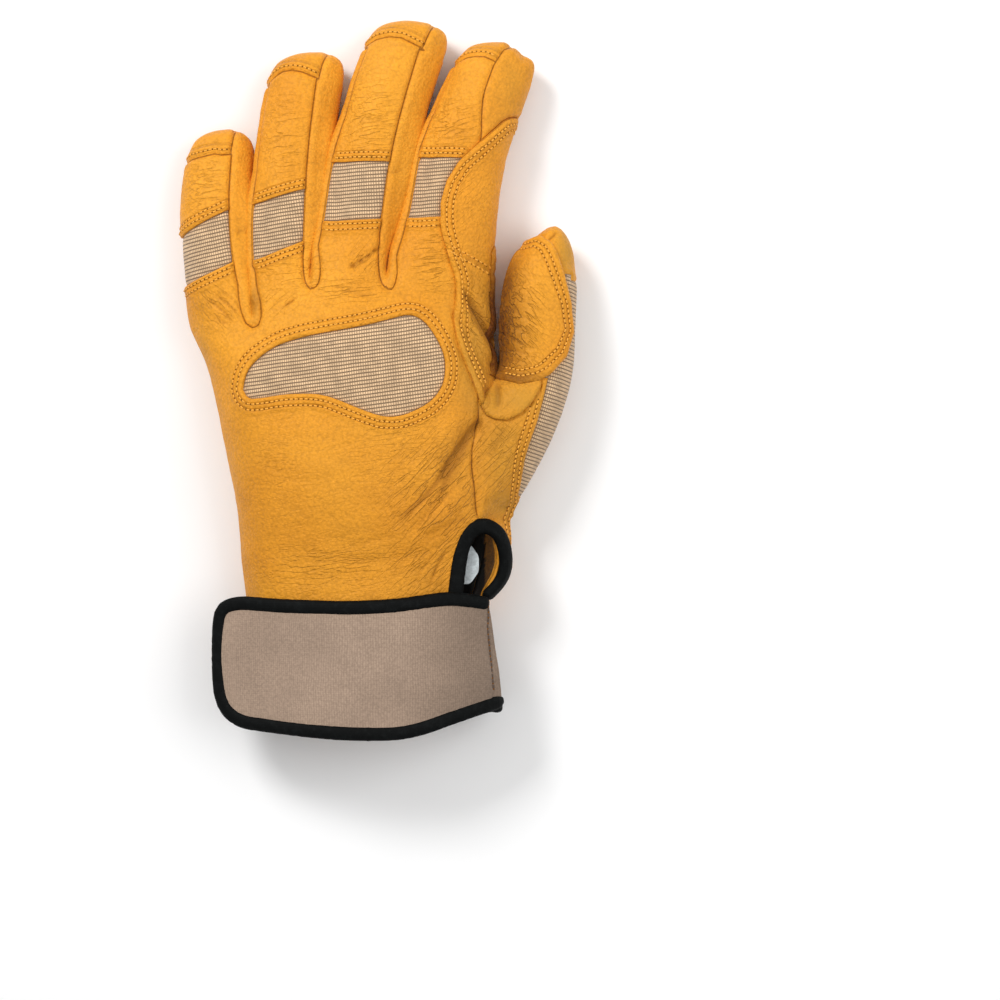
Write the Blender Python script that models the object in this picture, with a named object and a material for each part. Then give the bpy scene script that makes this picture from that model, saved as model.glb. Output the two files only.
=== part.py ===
"""A left-hand leather climbing glove, lying palm down with its fingers along +Y and its thumb at +X.

The whole skin is one smooth surface, grown from a coarse cage whose edges are the glove's seams. Panels
are the stretches of that surface between the seams. Each one becomes a solid wall, and neighbours keep
a narrow seam gap. The strap, the bindings and the wrist tab are laid on the same surface afterwards.
All sizes are in millimetres, and the meshes are written in metres.
"""

import math

import bmesh
import bpy
from mathutils import Vector

MM = 0.001

# Driving sizes of the hand
PALM_LENGTH = 112.0
PALM_WIDTH = 104.0
PALM_DEPTH = 40.0
PALM_CENTRE_X = -11.0
WRIST_EDGE_Y = -81.5
THUMB_LENGTH = 84.0
THUMB_WIDTH = 28.0
THUMB_DEPTH = 25.0
THUMB_ROOT_ACROSS = 0.9952
THUMB_ROOT_ALONG = 0.5134
FINGER_ROOT_Z = 16.5
FINGER_TIP_SHARE = 0.38
FINGER_ARCH = 1.5

# Driving sizes of the cuff and what is on it
CUFF_LENGTH = 38.5
CUFF_WIDTH = 88.0
CUFF_DEPTH = 35.0
CUFF_CENTRE_X = -1.5
HEM_RISE = 5.0
STRAP_LENGTH = 101.0
STRAP_WIDTH = 49.0
STRAP_WALL = 2.4
STRAP_STAND = 0.7
STRAP_END_OVER = 0.4
STRAP_RISE = 5.5
BINDING_WIDTH = 5.0
BINDING_THICKNESS = 4.0
TAB_WIDTH = 33.0
TAB_LENGTH = 36.0
TAB_WALL = 1.1
TAB_ASIDE = -8.8
TAB_BELOW = 16.5
HOLE_WIDTH = 17.0
HOLE_LENGTH = 20.0
LABEL_WIDTH = 10.0
LABEL_LENGTH = 14.0
LABEL_WALL = 0.6
LABEL_SHIFT = (2.1, -0.4)

# Walls and gaps
LEATHER_WALL = 1.6
FABRIC_WALL = 1.3
CUFF_WALL = 2.4
PATCH_LIFT = 0.6
FABRIC_SINK = 0.4
SEAM_GAP = 0.32
SEAM_TAPER = 0.15
CLEARANCE = 0.35

# How the skin is shaped
SECTION_POWER = 2.4
CORNER_SHARE = 0.84
PALM_CAGE = 1.05
RING_CAGE = 1.108
REST_SOFTNESS = 2.0
REST_SINK = 3.0
SNAP_SHARE = 0.15
LEVELS = 1

# Crotches between the fingers, ulnar side first: place across the palm, and reach on the back and on the palm
CROTCHES = (
    # across, back, front (shares of PALM_WIDTH and PALM_LENGTH)
    (0.000, 0.870, 0.900),
    (0.188, 0.850, 0.925),
    (0.385, 0.975, 1.020),
    (0.655, 0.968, 1.000),
    (1.000, 0.965, 0.990),
)

FINGER_NAMES = ("little", "ring", "middle", "index")
FINGERS = {
    # root (shares of PALM_WIDTH and PALM_LENGTH), reach from root to tip, sideways bow, widths, depth, roll at
    # root and tip, seam slant, and shares of the length at the stretch inset's edges and at the tip seam
    "little": dict(
        root=(0.0962, 0.8964), reach=(-0.6, 71.7), bow=-3.4, root_width=24.5, tip_width=25.0, depth=20.5,
        roll=(16.0, 24.0), slant=25.0, tip_slant=0.35, inset=(0.27, 0.528), cap=0.81,
    ),
    "ring": dict(
        root=(0.2962, 0.9866), reach=(9.4, 88.4), bow=-3.0, root_width=25.5, tip_width=27.5, depth=22.0,
        roll=(8.0, 28.0), slant=20.0, tip_slant=0.7, inset=(0.185, 0.378), cap=0.865,
    ),
    "middle": dict(
        root=(0.5337, 0.9938), reach=(21.9, 97.9), bow=-5.2, root_width=28.0, tip_width=29.0, depth=23.5,
        roll=(8.0, 25.0), slant=11.0, tip_slant=1.5, inset=(0.263, 0.440), cap=0.885,
    ),
    "index": dict(
        root=(0.8385, 0.9866), reach=(22.0, 91.3), bow=-6.8, root_width=33.0, tip_width=27.0, depth=23.5,
        roll=(8.0, 32.0), slant=10.0, tip_slant=1.9, inset=(0.30, 0.497), cap=0.875,
    ),
}

# Sections past the tip seam: share of the way from the seam to the tip, and shares of the width and depth
FINGER_END_ROWS = (
    # along, width, depth
    (0.62, 0.82, 0.76),
)

# Sections of the palm from the hem to the crotches. Lengths are shares of the palm or the cuff.
PALM_ROWS = (
    # name, along (of PALM_LENGTH), width and depth (of PALM_WIDTH and PALM_DEPTH), centre shift (of
    # PALM_WIDTH), spread of the columns from even (0) to the crotches' places (1)
    ("slit", 0.155, 0.915, 0.880, 0.100, 0.00),
    ("apex", 0.300, 0.905, 1.000, 0.096, 0.10),
    ("thumb", 0.500, 0.940, 1.020, 0.062, 0.30),
    ("web", 0.710, 0.950, 0.990, 0.030, 0.60),
    ("knuckle", 0.860, 0.970, 0.930, 0.008, 0.85),
)
CROTCH_ROW = (1.030, 0.850, -0.021)

# Sections of the thumb from its root to its tip
THUMB_ROWS = (
    # along and sideways (shares of THUMB_LENGTH, from the root), heading in degrees from +X, roll in
    # degrees, half width and half depth (shares of THUMB_WIDTH and THUMB_DEPTH), height (of PALM_DEPTH)
    (0.095, 0.066, 52.0, -8.0, 0.61, 0.62, 0.42),
    (0.290, 0.200, 86.0, 0.0, 0.430, 0.545, 0.39),
    (0.500, 0.178, 84.0, 12.0, 0.485, 0.53, 0.365),
    (0.720, 0.205, 83.0, 14.0, 0.455, 0.50, 0.345),
    (0.875, 0.228, 83.0, 14.0, 0.340, 0.38, 0.325),
)
THUMB_TIP = (0.955, 0.240, 0.315)

# Where the seam from the thumb to the slit leans towards the back of the hand, as shares of CUFF_WIDTH
SEAM_LEAN = {"apex": -0.055, "thumb": -0.035}

# Where the wrist slit is open: how far each lip stands from the seam that it ends
SLIT_ROWS = {
    # row name: (shift of the back lip, shift of the thumb lip), shares of CUFF_WIDTH
    "slit": (-0.147, 0.045),
    "edge": (-0.120, 0.050),
    "cuff": (-0.120, 0.050),
    "hem": (-0.120, 0.050),
}

# The strap's edges, from its sewn end to its free end
STRAP_ROWS = (
    # along (of STRAP_LENGTH), top and bottom (of STRAP_WIDTH)
    (0.000, 0.001, -0.785),
    (0.080, 0.025, -0.835),
    (0.174, 0.044, -0.906),
    (0.260, 0.020, -0.970),
    (0.347, -0.006, -1.006),
    (0.440, -0.018, -1.010),
    (0.538, -0.024, -1.006),
    (0.640, -0.018, -0.990),
    (0.740, -0.012, -0.968),
    (0.820, -0.002, -0.950),
    (0.885, 0.008, -0.935),
    (0.938, -0.010, -0.878),
    (0.972, -0.055, -0.792),
    (0.993, -0.160, -0.635),
)

# The knuckle inset's outline seen from above, as shares of PALM_WIDTH and PALM_LENGTH from the wrist edge
KNUCKLE_INSET = (
    (0.160, 0.693), (0.177, 0.756), (0.244, 0.815), (0.345, 0.850), (0.563, 0.887), (0.698, 0.923),
    (0.756, 0.912), (0.806, 0.856), (0.840, 0.793), (0.840, 0.756), (0.826, 0.693), (0.783, 0.650),
    (0.682, 0.606), (0.631, 0.606), (0.563, 0.628), (0.429, 0.675), (0.294, 0.675), (0.170, 0.670),
)

# The web patch's edges: shares of PALM_WIDTH across, and of PALM_LENGTH along up to 1. What is over 1 is a
# share of the index finger's length.
WEB_EDGE_BACK = (
    (1.160, 1.728), (1.050, 1.650), (0.950, 1.549), (0.880, 1.477), (0.840, 1.405), (0.820, 1.322),
    (0.820, 1.227), (0.850, 1.107), (0.885, 1.000), (0.892, 0.900), (0.910, 0.800), (0.950, 0.705),
    (1.010, 0.600),
)
WEB_EDGE_FRONT = (
    (1.160, 1.728), (1.050, 1.632), (0.960, 1.513), (0.880, 1.382), (0.850, 1.239), (0.860, 1.095),
    (0.890, 0.960), (0.910, 0.850), (0.940, 0.740), (1.000, 0.660), (1.100, 0.600), (1.250, 0.560),
)

# The stretch strip's edge beside the thumb's base: shares of THUMB_LENGTH across and along, from the thumb's root
STRETCH_EDGE_THUMB = (
    (0.303, 0.582), (0.229, 0.290), (0.208, 0.198), (0.187, 0.116), (0.157, 0.032), (0.132, -0.053),
    (0.108, -0.186), (0.099, -0.351),
)

MATERIALS = {
    "leather": ((0.87, 0.45, 0.075), 0.62),
    "stretch_fabric": ((0.55, 0.41, 0.29), 0.85),
    "neoprene": ((0.37, 0.28, 0.235), 0.9),
    "black_binding": ((0.012, 0.013, 0.014), 0.7),
    "label": ((0.72, 0.74, 0.74), 0.8),
}

# The cage has two columns to a finger on the back and on the palm, and one down the middle of each side
BACK_COLUMNS = 2 * len(FINGER_NAMES) + 1
COLUMNS = 2 * BACK_COLUMNS + 2
RIGHT_CORNER = BACK_COLUMNS - 1
RIGHT_MIDDLE = RIGHT_CORNER + 1
RIGHT_PALM_CORNER = RIGHT_CORNER + 2
LEFT_MIDDLE = COLUMNS - 1
LEFT_PALM_CORNER = COLUMNS - 2


def clear_scene():
    for old in list(bpy.data.objects):
        bpy.data.objects.remove(old)


def material(name):
    found = bpy.data.materials.get(name)
    if found:
        return found
    colour, roughness = MATERIALS[name]
    made = bpy.data.materials.new(name)
    made.use_nodes = True
    shader = made.node_tree.nodes["Principled BSDF"]
    shader.inputs["Base Color"].default_value = (*colour, 1.0)
    shader.inputs["Roughness"].default_value = roughness
    shader.inputs["Metallic"].default_value = 0.0
    return made


def mix(a, b, share):
    return a + (b - a) * share


def palm_x(across):
    return PALM_CENTRE_X + (across - 0.5) * PALM_WIDTH


def palm_y(along):
    return WRIST_EDGE_Y + along * PALM_LENGTH


def thumb_place(across, along):
    """A point in the plane, from shares of the thumb's length across and along from its root."""
    return Vector((
        palm_x(THUMB_ROOT_ACROSS) + across * THUMB_LENGTH,
        palm_y(THUMB_ROOT_ALONG) + along * THUMB_LENGTH,
    ))


def tab_centre():
    return Vector((CUFF_CENTRE_X + TAB_ASIDE, WRIST_EDGE_Y - TAB_BELOW))


def strap_place(along, down):
    """A point in the plane, from shares of the strap's length from its sewn end and of its width from its top."""
    return Vector((
        CUFF_CENTRE_X + CUFF_WIDTH / 2 + STRAP_END_OVER - along * STRAP_LENGTH,
        WRIST_EDGE_Y + STRAP_RISE + down * STRAP_WIDTH,
    ))


def arch_height(offset):
    """Height of the section curve over its centre, both as shares of the half sizes."""
    return (1 - min(1.0, abs(offset)) ** SECTION_POWER) ** (1 / SECTION_POWER)


def column_shares(spread):
    """Places of the back's columns between its corners: even, or following the crotches."""
    shares = []
    for column in range(BACK_COLUMNS):
        left = CROTCHES[column // 2][0]
        right = CROTCHES[(column + 1) // 2][0]
        shares.append(mix(column / (BACK_COLUMNS - 1), (left + right) / 2, spread))
    return shares


def palm_ring(y, centre_x, width, depth, spread, y_shift=None):
    """The ring of cage points round the palm or cuff. y_shift(column) moves a column's point along the hand."""
    half_width = width / 2 * PALM_CAGE
    half_depth = depth / 2
    middle_z = half_depth - REST_SINK
    points = []
    shares = column_shares(spread)
    for column in range(COLUMNS):
        if column == RIGHT_MIDDLE:
            place, height = 1.0, 0.0
        elif column == LEFT_MIDDLE:
            place, height = -1.0, 0.0
        elif column <= RIGHT_CORNER:
            place = CORNER_SHARE * (2 * shares[column] - 1)
            height = arch_height(place)
        else:
            place = CORNER_SHARE * (2 * shares[LEFT_PALM_CORNER - column] - 1)
            height = -arch_height(place)
        shift = y_shift(column) if y_shift else 0.0
        points.append(
            Vector((centre_x + place * half_width, y + shift, middle_z + height * half_depth * PALM_CAGE))
        )
    return points


def crotch_shift(blend):
    """How far each column's point lies from the straight row, where the crotches step up and down."""

    def shift(column):
        if column in (RIGHT_MIDDLE, LEFT_MIDDLE):
            end = CROTCHES[-1] if column == RIGHT_MIDDLE else CROTCHES[0]
            reach = (end[1] + end[2]) / 2
        else:
            side = 1 if column <= RIGHT_CORNER else 2
            place = column if column <= RIGHT_CORNER else LEFT_PALM_CORNER - column
            reach = (CROTCHES[place // 2][side] + CROTCHES[(place + 1) // 2][side]) / 2
        return (reach - 1) * PALM_LENGTH * blend

    return shift


def hem_shift(column):
    """How far the hem rises towards the thumb."""
    place = min(column, LEFT_PALM_CORNER - column) if column <= LEFT_PALM_CORNER else -1
    across = (place if column <= RIGHT_CORNER else LEFT_PALM_CORNER - column) / RIGHT_CORNER
    return HEM_RISE * max(0.0, across - 0.5) * 2


def finger_centre(finger, share):
    root = Vector((palm_x(finger["root"][0]), palm_y(finger["root"][1])))
    line = Vector(finger["reach"])
    side = Vector((line.y, -line.x)).normalized()
    at = root + line * share + side * finger["bow"] * 4 * share * (1 - share)
    z = mix(FINGER_ROOT_Z, finger["depth"] * FINGER_TIP_SHARE, share) + FINGER_ARCH * 4 * share * (1 - share)
    return Vector((at.x, at.y, z))


def finger_ring(finger, share, width_share=1.0, depth_share=1.0, slant_share=1.0):
    """Eight points round a finger: back left, middle and right, right side, palm right, middle and left, left side."""
    centre = finger_centre(finger, share)
    step = 0.02
    heading = (finger_centre(finger, share + step) - finger_centre(finger, share - step)).normalized()
    side = Vector((heading.y, -heading.x, 0)).normalized()
    up = side.cross(heading)
    half_width = mix(finger["root_width"], finger["tip_width"], share) / 2 * RING_CAGE * width_share
    half_depth = finger["depth"] / 2 * RING_CAGE * depth_share
    roll = math.radians(mix(*finger["roll"], share))
    slope = math.tan(math.radians(finger["slant"])) * slant_share
    points = []
    for corner in range(8):
        angle = math.radians(135 - 45 * corner) + roll
        across = math.cos(angle) * half_width
        points.append(centre + side * across + up * math.sin(angle) * half_depth + heading * across * slope)
    return points


def thumb_ring(row):
    along, sideways, heading, roll, half_width, half_depth, height = row
    centre = Vector((*thumb_place(sideways, along), height * PALM_DEPTH))
    turn = math.radians(heading)
    web = Vector((-math.sin(turn), math.cos(turn), 0))
    up = Vector((0, 0, 1))
    points = []
    for corner in range(8):
        # Corner 0 is between the web side and the back, and the corners run on towards the palm.
        angle = math.radians(45 - 45 * corner + roll)
        points.append(
            centre
            + web * math.cos(angle) * half_width * THUMB_WIDTH * RING_CAGE
            + up * math.sin(angle) * half_depth * THUMB_DEPTH * RING_CAGE
        )
    return points


class Cage:
    """A cage of four-sided faces, each with the name of the panel that it belongs to."""

    def __init__(self):
        self.points = []
        self.faces = []
        self.panels = []
        self.names = []

    def add(self, points):
        start = len(self.points)
        self.points.extend(points)
        return list(range(start, len(self.points)))

    def face(self, corners, panel):
        if panel not in self.names:
            self.names.append(panel)
        self.faces.append(corners)
        self.panels.append(self.names.index(panel))


def palm_panel_name(row, column):
    """The panel of the face above this row, between this column and the next."""
    if row < 2:
        return "cuff_band"
    if column < RIGHT_CORNER or column == LEFT_MIDDLE:
        return "back_panel"
    if row < 4:
        if column == RIGHT_CORNER or (row == 2 and column == RIGHT_MIDDLE):
            return "thumb_base"
        return "thumb_stretch" if column == RIGHT_MIDDLE else "heel_panel"
    if column in (RIGHT_CORNER, RIGHT_MIDDLE):
        return "web_patch"
    return "palm_panel"


def finger_panel_name(name, corner, row):
    """The panel of a finger's face. Rows run: root, inset, back, tip seam, tip."""
    number = FINGER_NAMES.index(name)
    back = corner in (0, 1) or (corner == 7 and number == 0)
    front = corner in (4, 5) or (corner == 6 and number == 0)
    if row >= 4:
        return f"fingertip_{name}"
    if back:
        return ("back_panel", f"finger_inset_{name}", f"finger_back_{name}", f"finger_back_{name}")[row]
    if front:
        return ("palm_panel", f"finger_front_{name}", f"finger_front_{name}", f"fingertip_{name}")[row]
    if corner in (2, 3) and name == "index":
        return "index_side"
    between = number if corner in (2, 3) else number - 1
    return f"side_strip_{FINGER_NAMES[between]}_{FINGER_NAMES[between + 1]}"


def thumb_panel_name(corner, row):
    """The panel of a thumb's face. Corners 0 and 1 face the index finger, 2 and 3 the palm side, 4 and 5 outwards."""
    if row >= 5:
        return "thumb_tip"
    if corner == 4 or (corner == 5 and row > 1):
        return "thumb_tip" if row == 4 else "thumb_stretch"
    if row < 2:
        if corner in (0, 1):
            return "web_patch"
        return "palm_panel" if corner in (2, 3) else "thumb_base"
    return "thumb_front" if corner in (1, 2, 3) else "thumb_pad"


def close_end(cage, ring, tip, panel):
    """Four faces that close a ring of eight points over a middle point."""
    middle = cage.add([tip])[0]
    for corner in (0, 2, 4, 6):
        cage.face([ring[(corner - 1) % 8], ring[corner], ring[(corner + 1) % 8], middle], panel)


def add_fingers(cage, top):
    """Grows each finger from its loop of points round the crotch row."""
    for number, name in enumerate(FINGER_NAMES):
        finger = FINGERS[name]
        back = 2 * number
        front = LEFT_PALM_CORNER - 2 * number
        right_web = top["webs"][number + 1]
        left_web = top["webs"][number]
        ring = [
            top["ring"][back], top["ring"][back + 1], top["ring"][back + 2], right_web,
            top["ring"][front - 2], top["ring"][front - 1], top["ring"][front], left_web,
        ]
        low, high = finger["inset"]
        cap = finger["cap"]
        sections = [
            finger_ring(finger, low),
            finger_ring(finger, high),
            finger_ring(finger, (high + cap) / 2, 1.0, 0.97),
            finger_ring(finger, cap, 0.97, 0.88, finger["tip_slant"]),
        ]
        for along, width, depth in FINGER_END_ROWS:
            sections.append(finger_ring(finger, mix(cap, 1.0, along), width, depth, finger["tip_slant"]))
        for row, section in enumerate(sections):
            upper = cage.add(section)
            for corner in range(8):
                after = (corner + 1) % 8
                cage.face(
                    [ring[corner], ring[after], upper[after], upper[corner]],
                    finger_panel_name(name, corner, row),
                )
            ring = upper
        close_end(cage, ring, finger_centre(finger, 1.0), f"fingertip_{name}")


def add_thumb(cage, hole):
    ring = hole
    for row, values in enumerate(THUMB_ROWS):
        upper = cage.add(thumb_ring(values))
        for corner in range(8):
            after = (corner + 1) % 8
            cage.face([ring[corner], ring[after], upper[after], upper[corner]], thumb_panel_name(corner, row))
        ring = upper
    along, sideways, height = THUMB_TIP
    tip = Vector((*thumb_place(sideways, along), height * PALM_DEPTH))
    close_end(cage, ring, tip, "thumb_tip")


def hand_rows():
    """Every ring of the cuff and palm, with its name, from the hem to the crotches."""
    rows = [
        ("hem", palm_ring(WRIST_EDGE_Y - CUFF_LENGTH, CUFF_CENTRE_X, CUFF_WIDTH, CUFF_DEPTH, 0, hem_shift)),
        ("cuff", palm_ring(WRIST_EDGE_Y - CUFF_LENGTH / 2, CUFF_CENTRE_X, CUFF_WIDTH * 0.985, CUFF_DEPTH, 0)),
        ("edge", palm_ring(WRIST_EDGE_Y, CUFF_CENTRE_X, CUFF_WIDTH * 0.985, CUFF_DEPTH, 0)),
    ]
    for name, along, width, depth, shift, spread in PALM_ROWS:
        step = crotch_shift(spread ** 3 * 0.8)
        rows.append((
            name,
            palm_ring(
                palm_y(along), PALM_CENTRE_X + shift * PALM_WIDTH, width * PALM_WIDTH, depth * PALM_DEPTH,
                spread, step,
            ),
        ))
    width, depth, shift = CROTCH_ROW
    rows.append((
        "crotch",
        palm_ring(
            palm_y(1.0), PALM_CENTRE_X + shift * PALM_WIDTH, width * PALM_WIDTH, depth * PALM_DEPTH,
            1.0, crotch_shift(1.0),
        ),
    ))
    return rows


def hand_cage():
    """The cage of the whole glove skin."""
    cage = Cage()
    rows = []
    for name, ring in hand_rows():
        indices = cage.add(ring)
        lips = (indices[RIGHT_CORNER], indices[RIGHT_CORNER])
        if name in SEAM_LEAN:
            cage.points[indices[RIGHT_CORNER]] += Vector((SEAM_LEAN[name] * CUFF_WIDTH, 0, 0))
        if name in SLIT_ROWS:
            back_shift, thumb_shift = SLIT_ROWS[name]
            corner = ring[RIGHT_CORNER]
            left = ring[RIGHT_CORNER - 1]
            right = ring[RIGHT_MIDDLE]
            cage.points[indices[RIGHT_CORNER]] = corner + Vector((back_shift * CUFF_WIDTH, 0, 0)) + (
                Vector((0, 0, (left.z - corner.z) * 0.9))
            )
            thumb_lip = corner + Vector((thumb_shift * CUFF_WIDTH, 0, (right.z - corner.z) * 0.25))
            lips = (indices[RIGHT_CORNER], cage.add([thumb_lip])[0])
            cage.points[indices[RIGHT_CORNER - 1]].x += back_shift * CUFF_WIDTH * 0.55
        rows.append((name, indices, lips))
    hole_rows = (4, 5)
    for row in range(len(rows) - 1):
        lower, upper = rows[row][1], rows[row + 1][1]
        for column in range(COLUMNS):
            if row in hole_rows and column in (RIGHT_CORNER, RIGHT_MIDDLE):
                continue
            after = (column + 1) % COLUMNS
            corners = [lower[column], lower[after], upper[after], upper[column]]
            if column == RIGHT_CORNER:
                corners[0] = rows[row][2][1]
                corners[3] = rows[row + 1][2][1]
            cage.face(corners, palm_panel_name(row, column))
    top = rows[-1][1]
    webs = [top[LEFT_MIDDLE]]
    for number in range(1, 4):
        back = cage.points[top[2 * number]]
        front = cage.points[top[LEFT_PALM_CORNER - 2 * number]]
        webs.append(cage.add([(back + front) / 2 + Vector((0, 0.055 * PALM_LENGTH, 0))])[0])
    webs.append(top[RIGHT_MIDDLE])
    add_fingers(cage, {"ring": top, "webs": webs})
    low, mid, high = rows[4][1], rows[5][1], rows[6][1]
    hole = [
        high[RIGHT_CORNER], high[RIGHT_MIDDLE], high[RIGHT_PALM_CORNER], mid[RIGHT_PALM_CORNER],
        low[RIGHT_PALM_CORNER], low[RIGHT_MIDDLE], low[RIGHT_CORNER], mid[RIGHT_CORNER],
    ]
    add_thumb(cage, hole)
    return cage


def smooth_surface(cage):
    """The cage after subdivision, as a bmesh in millimetres whose material indices are the panels."""
    mesh = bpy.data.meshes.new("skin_cage")
    mesh.from_pydata(cage.points, [], cage.faces)
    for _ in cage.names:
        mesh.materials.append(None)
    mesh.polygons.foreach_set("material_index", cage.panels)
    obj = bpy.data.objects.new("skin_cage", mesh)
    bpy.context.scene.collection.objects.link(obj)
    modifier = obj.modifiers.new("subdivision", "SUBSURF")
    modifier.levels = LEVELS
    modifier.render_levels = LEVELS
    graph = bpy.context.evaluated_depsgraph_get()
    skin = bmesh.new()
    skin.from_mesh(obj.evaluated_get(graph).to_mesh())
    bpy.data.objects.remove(obj)
    bmesh.ops.remove_doubles(skin, verts=skin.verts, dist=0.001)
    used = [v for v in skin.verts if not v.link_faces]
    bmesh.ops.delete(skin, geom=used, context="VERTS")
    bmesh.ops.recalc_face_normals(skin, faces=skin.faces)
    return skin


def rest_height(y):
    """The height of the glove's underside: zero under the hand, and just over the tab under the cuff."""
    share = max(0.0, min(1.0, (WRIST_EDGE_Y + 10.0 - y) / 9.0))
    return (TAB_WALL + CLEARANCE) * share * share * (3 - 2 * share)


def settle(skin):
    """Flattens the skin softly where it rests."""
    for vert in skin.verts:
        floor = rest_height(vert.co.y)
        over = vert.co.z - floor
        if over < REST_SOFTNESS:
            flat = max(0.0, (over + REST_SOFTNESS) / (2 * REST_SOFTNESS))
            vert.co.z = floor + flat * flat * REST_SOFTNESS
    skin.normal_update()


def distance_to_line(point, line):
    """Signed distance in the plane to an open line: positive on its right-hand side, walking along it."""
    best, sign = 1e9, 1.0
    for a, b in zip(line, line[1:]):
        step = b - a
        share = max(0.0, min(1.0, (point - a).dot(step) / step.length_squared))
        away = point - (a + step * share)
        if away.length < best - 1e-9:
            best = away.length
            sign = 1.0 if step.x * away.y - step.y * away.x < 0 else -1.0
    return best * sign


def inside_outline(point, outline):
    """Signed distance to a closed outline: positive inside."""
    best, crossings = 1e9, 0
    for a, b in zip(outline, outline[1:] + outline[:1]):
        step = b - a
        share = max(0.0, min(1.0, (point - a).dot(step) / step.length_squared))
        best = min(best, (point - (a + step * share)).length)
        if (a.y > point.y) != (b.y > point.y):
            if point.x < a.x + (point.y - a.y) / (b.y - a.y) * (b.x - a.x):
                crossings += 1
    return best if crossings % 2 else -best


def outline_points(shares):
    index_length = Vector(FINGERS["index"]["reach"]).length
    return [
        Vector((palm_x(across), palm_y(min(along, 1.0)) + max(0.0, along - 1.0) * index_length))
        for across, along in shares
    ]


def split_along(skin, faces, field):
    """Cuts these faces where the field is zero, and returns the faces on its positive side."""
    faces = set(faces)
    verts = {v for f in faces for v in f.verts}
    value = {v: field(v.co) for v in verts}
    edges = {e for f in faces for e in f.edges}
    for edge in edges:
        a, b = edge.verts
        if value[a] * value[b] >= 0:
            continue
        share = value[a] / (value[a] - value[b])
        near = a if share < SNAP_SHARE else b if share > 1 - SNAP_SHARE else None
        if near is not None:
            other = b if near is a else a
            near.co = near.co.lerp(other.co, share if near is a else 1 - share)
            value[near] = 0.0
    for edge in edges:
        a, b = edge.verts
        if value[a] * value[b] < 0:
            _, made = bmesh.utils.edge_split(edge, a, value[a] / (value[a] - value[b]))
            value[made] = 0.0
    chosen = []
    for face in list(faces):
        pieces = [face]
        zeros = [v for v in face.verts if value[v] == 0.0]
        signs = {value[v] > 0 for v in face.verts if value[v] != 0.0}
        if len(signs) == 2 and len(zeros) >= 2:
            made = bmesh.utils.face_split(face, zeros[0], zeros[-1])
            pieces.append(made[0])
        for piece in pieces:
            if sum(value[v] for v in piece.verts) > 0:
                chosen.append(piece)
    return chosen


def recut_panels(skin, cage):
    """Moves the stretches inside the drawn outlines from one panel to another."""

    def panel_of(name):
        if name not in cage.names:
            cage.names.append(name)
        return cage.names.index(name)

    def faces_of(*names, back=None):
        wanted = {cage.names.index(n) for n in names}
        return [
            f for f in skin.faces
            if f.material_index in wanted and (back is None or (f.normal.z > 0) == back)
        ]

    inset = outline_points(KNUCKLE_INSET)
    cut = split_along(skin, faces_of("back_panel", back=True), lambda co: inside_outline(co.xy, inset))
    for face in cut:
        face.material_index = panel_of("knuckle_inset")
    skin.normal_update()
    for outline, side, names in (
        (WEB_EDGE_BACK, True, ("back_panel", "finger_back_index", "finger_inset_index", "index_side")),
        (WEB_EDGE_FRONT, False, ("palm_panel", "finger_front_index", "index_side")),
    ):
        line = outline_points(outline)
        cut = split_along(skin, faces_of(*names, back=side), lambda co: -distance_to_line(co.xy, line))
        for face in cut:
            if face.calc_center_median().y > palm_y(0.52):
                face.material_index = panel_of("web_patch")
        skin.normal_update()
    line = [thumb_place(*shares) for shares in STRETCH_EDGE_THUMB]
    cut = split_along(skin, faces_of("thumb_base"), lambda co: -distance_to_line(co.xy, line))
    for face in cut:
        if face.calc_center_median().y > palm_y(0.36):
            face.material_index = panel_of("thumb_stretch")
    skin.normal_update()


def open_wrist_hole(skin, cage):
    """Cuts the clip hole through the cuff band's palm side."""

    def field(co):
        away = co.xy - tab_centre()
        return 1 - math.hypot(away.x / (HOLE_WIDTH / 2), away.y / (HOLE_LENGTH / 2))

    band = cage.names.index("cuff_band")
    faces = [f for f in skin.faces if f.material_index == band and f.normal.z < -0.5]
    bmesh.ops.subdivide_edges(
        skin, edges=list({e for f in faces for e in f.edges}), cuts=1, use_grid_fill=True
    )
    faces = [f for f in skin.faces if f.material_index == band and f.normal.z < -0.5]
    bmesh.ops.delete(skin, geom=split_along(skin, faces, field), context="FACES")
    skin.normal_update()


def is_bound(edge):
    """Whether a binding wraps this open edge of the skin: all of them but the clip hole's."""
    if len(edge.link_faces) != 1:
        return False
    middle = (edge.verts[0].co + edge.verts[1].co) / 2
    return (middle.xy - tab_centre()).length > HOLE_LENGTH or middle.z > HOLE_WIDTH


def step_back(vert, faces, gap):
    """The shift along the surface that brings a panel's border back by half the gap, or clear of a binding."""
    sides = []
    for edge in vert.link_edges:
        own = [f for f in edge.link_faces if f in faces]
        if len(own) != 1:
            continue
        along = (edge.verts[1].co - edge.verts[0].co).normalized()
        across = own[0].normal.cross(along)
        if across.dot(own[0].calc_center_median() - edge.verts[0].co) < 0:
            across.negate()
        distance = BINDING_WIDTH / 2 + CLEARANCE * 1.4 if is_bound(edge) else gap / 2
        sides.append((across, distance))
    if not sides:
        return Vector()
    if len(sides) != 2:
        return sum((a * d for a, d in sides), Vector()) / len(sides)
    (first, a), (second, b) = sides
    shared = first.dot(second)
    spread = 1 - shared * shared
    if spread < 0.02:
        return (first + second).normalized() * max(a, b)
    shift = first * (a - shared * b) / spread + second * (b - shared * a) / spread
    longest = 1.5 + 1.7 * max(a, b)
    return shift * min(1.0, longest / max(shift.length, 1e-6))


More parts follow.
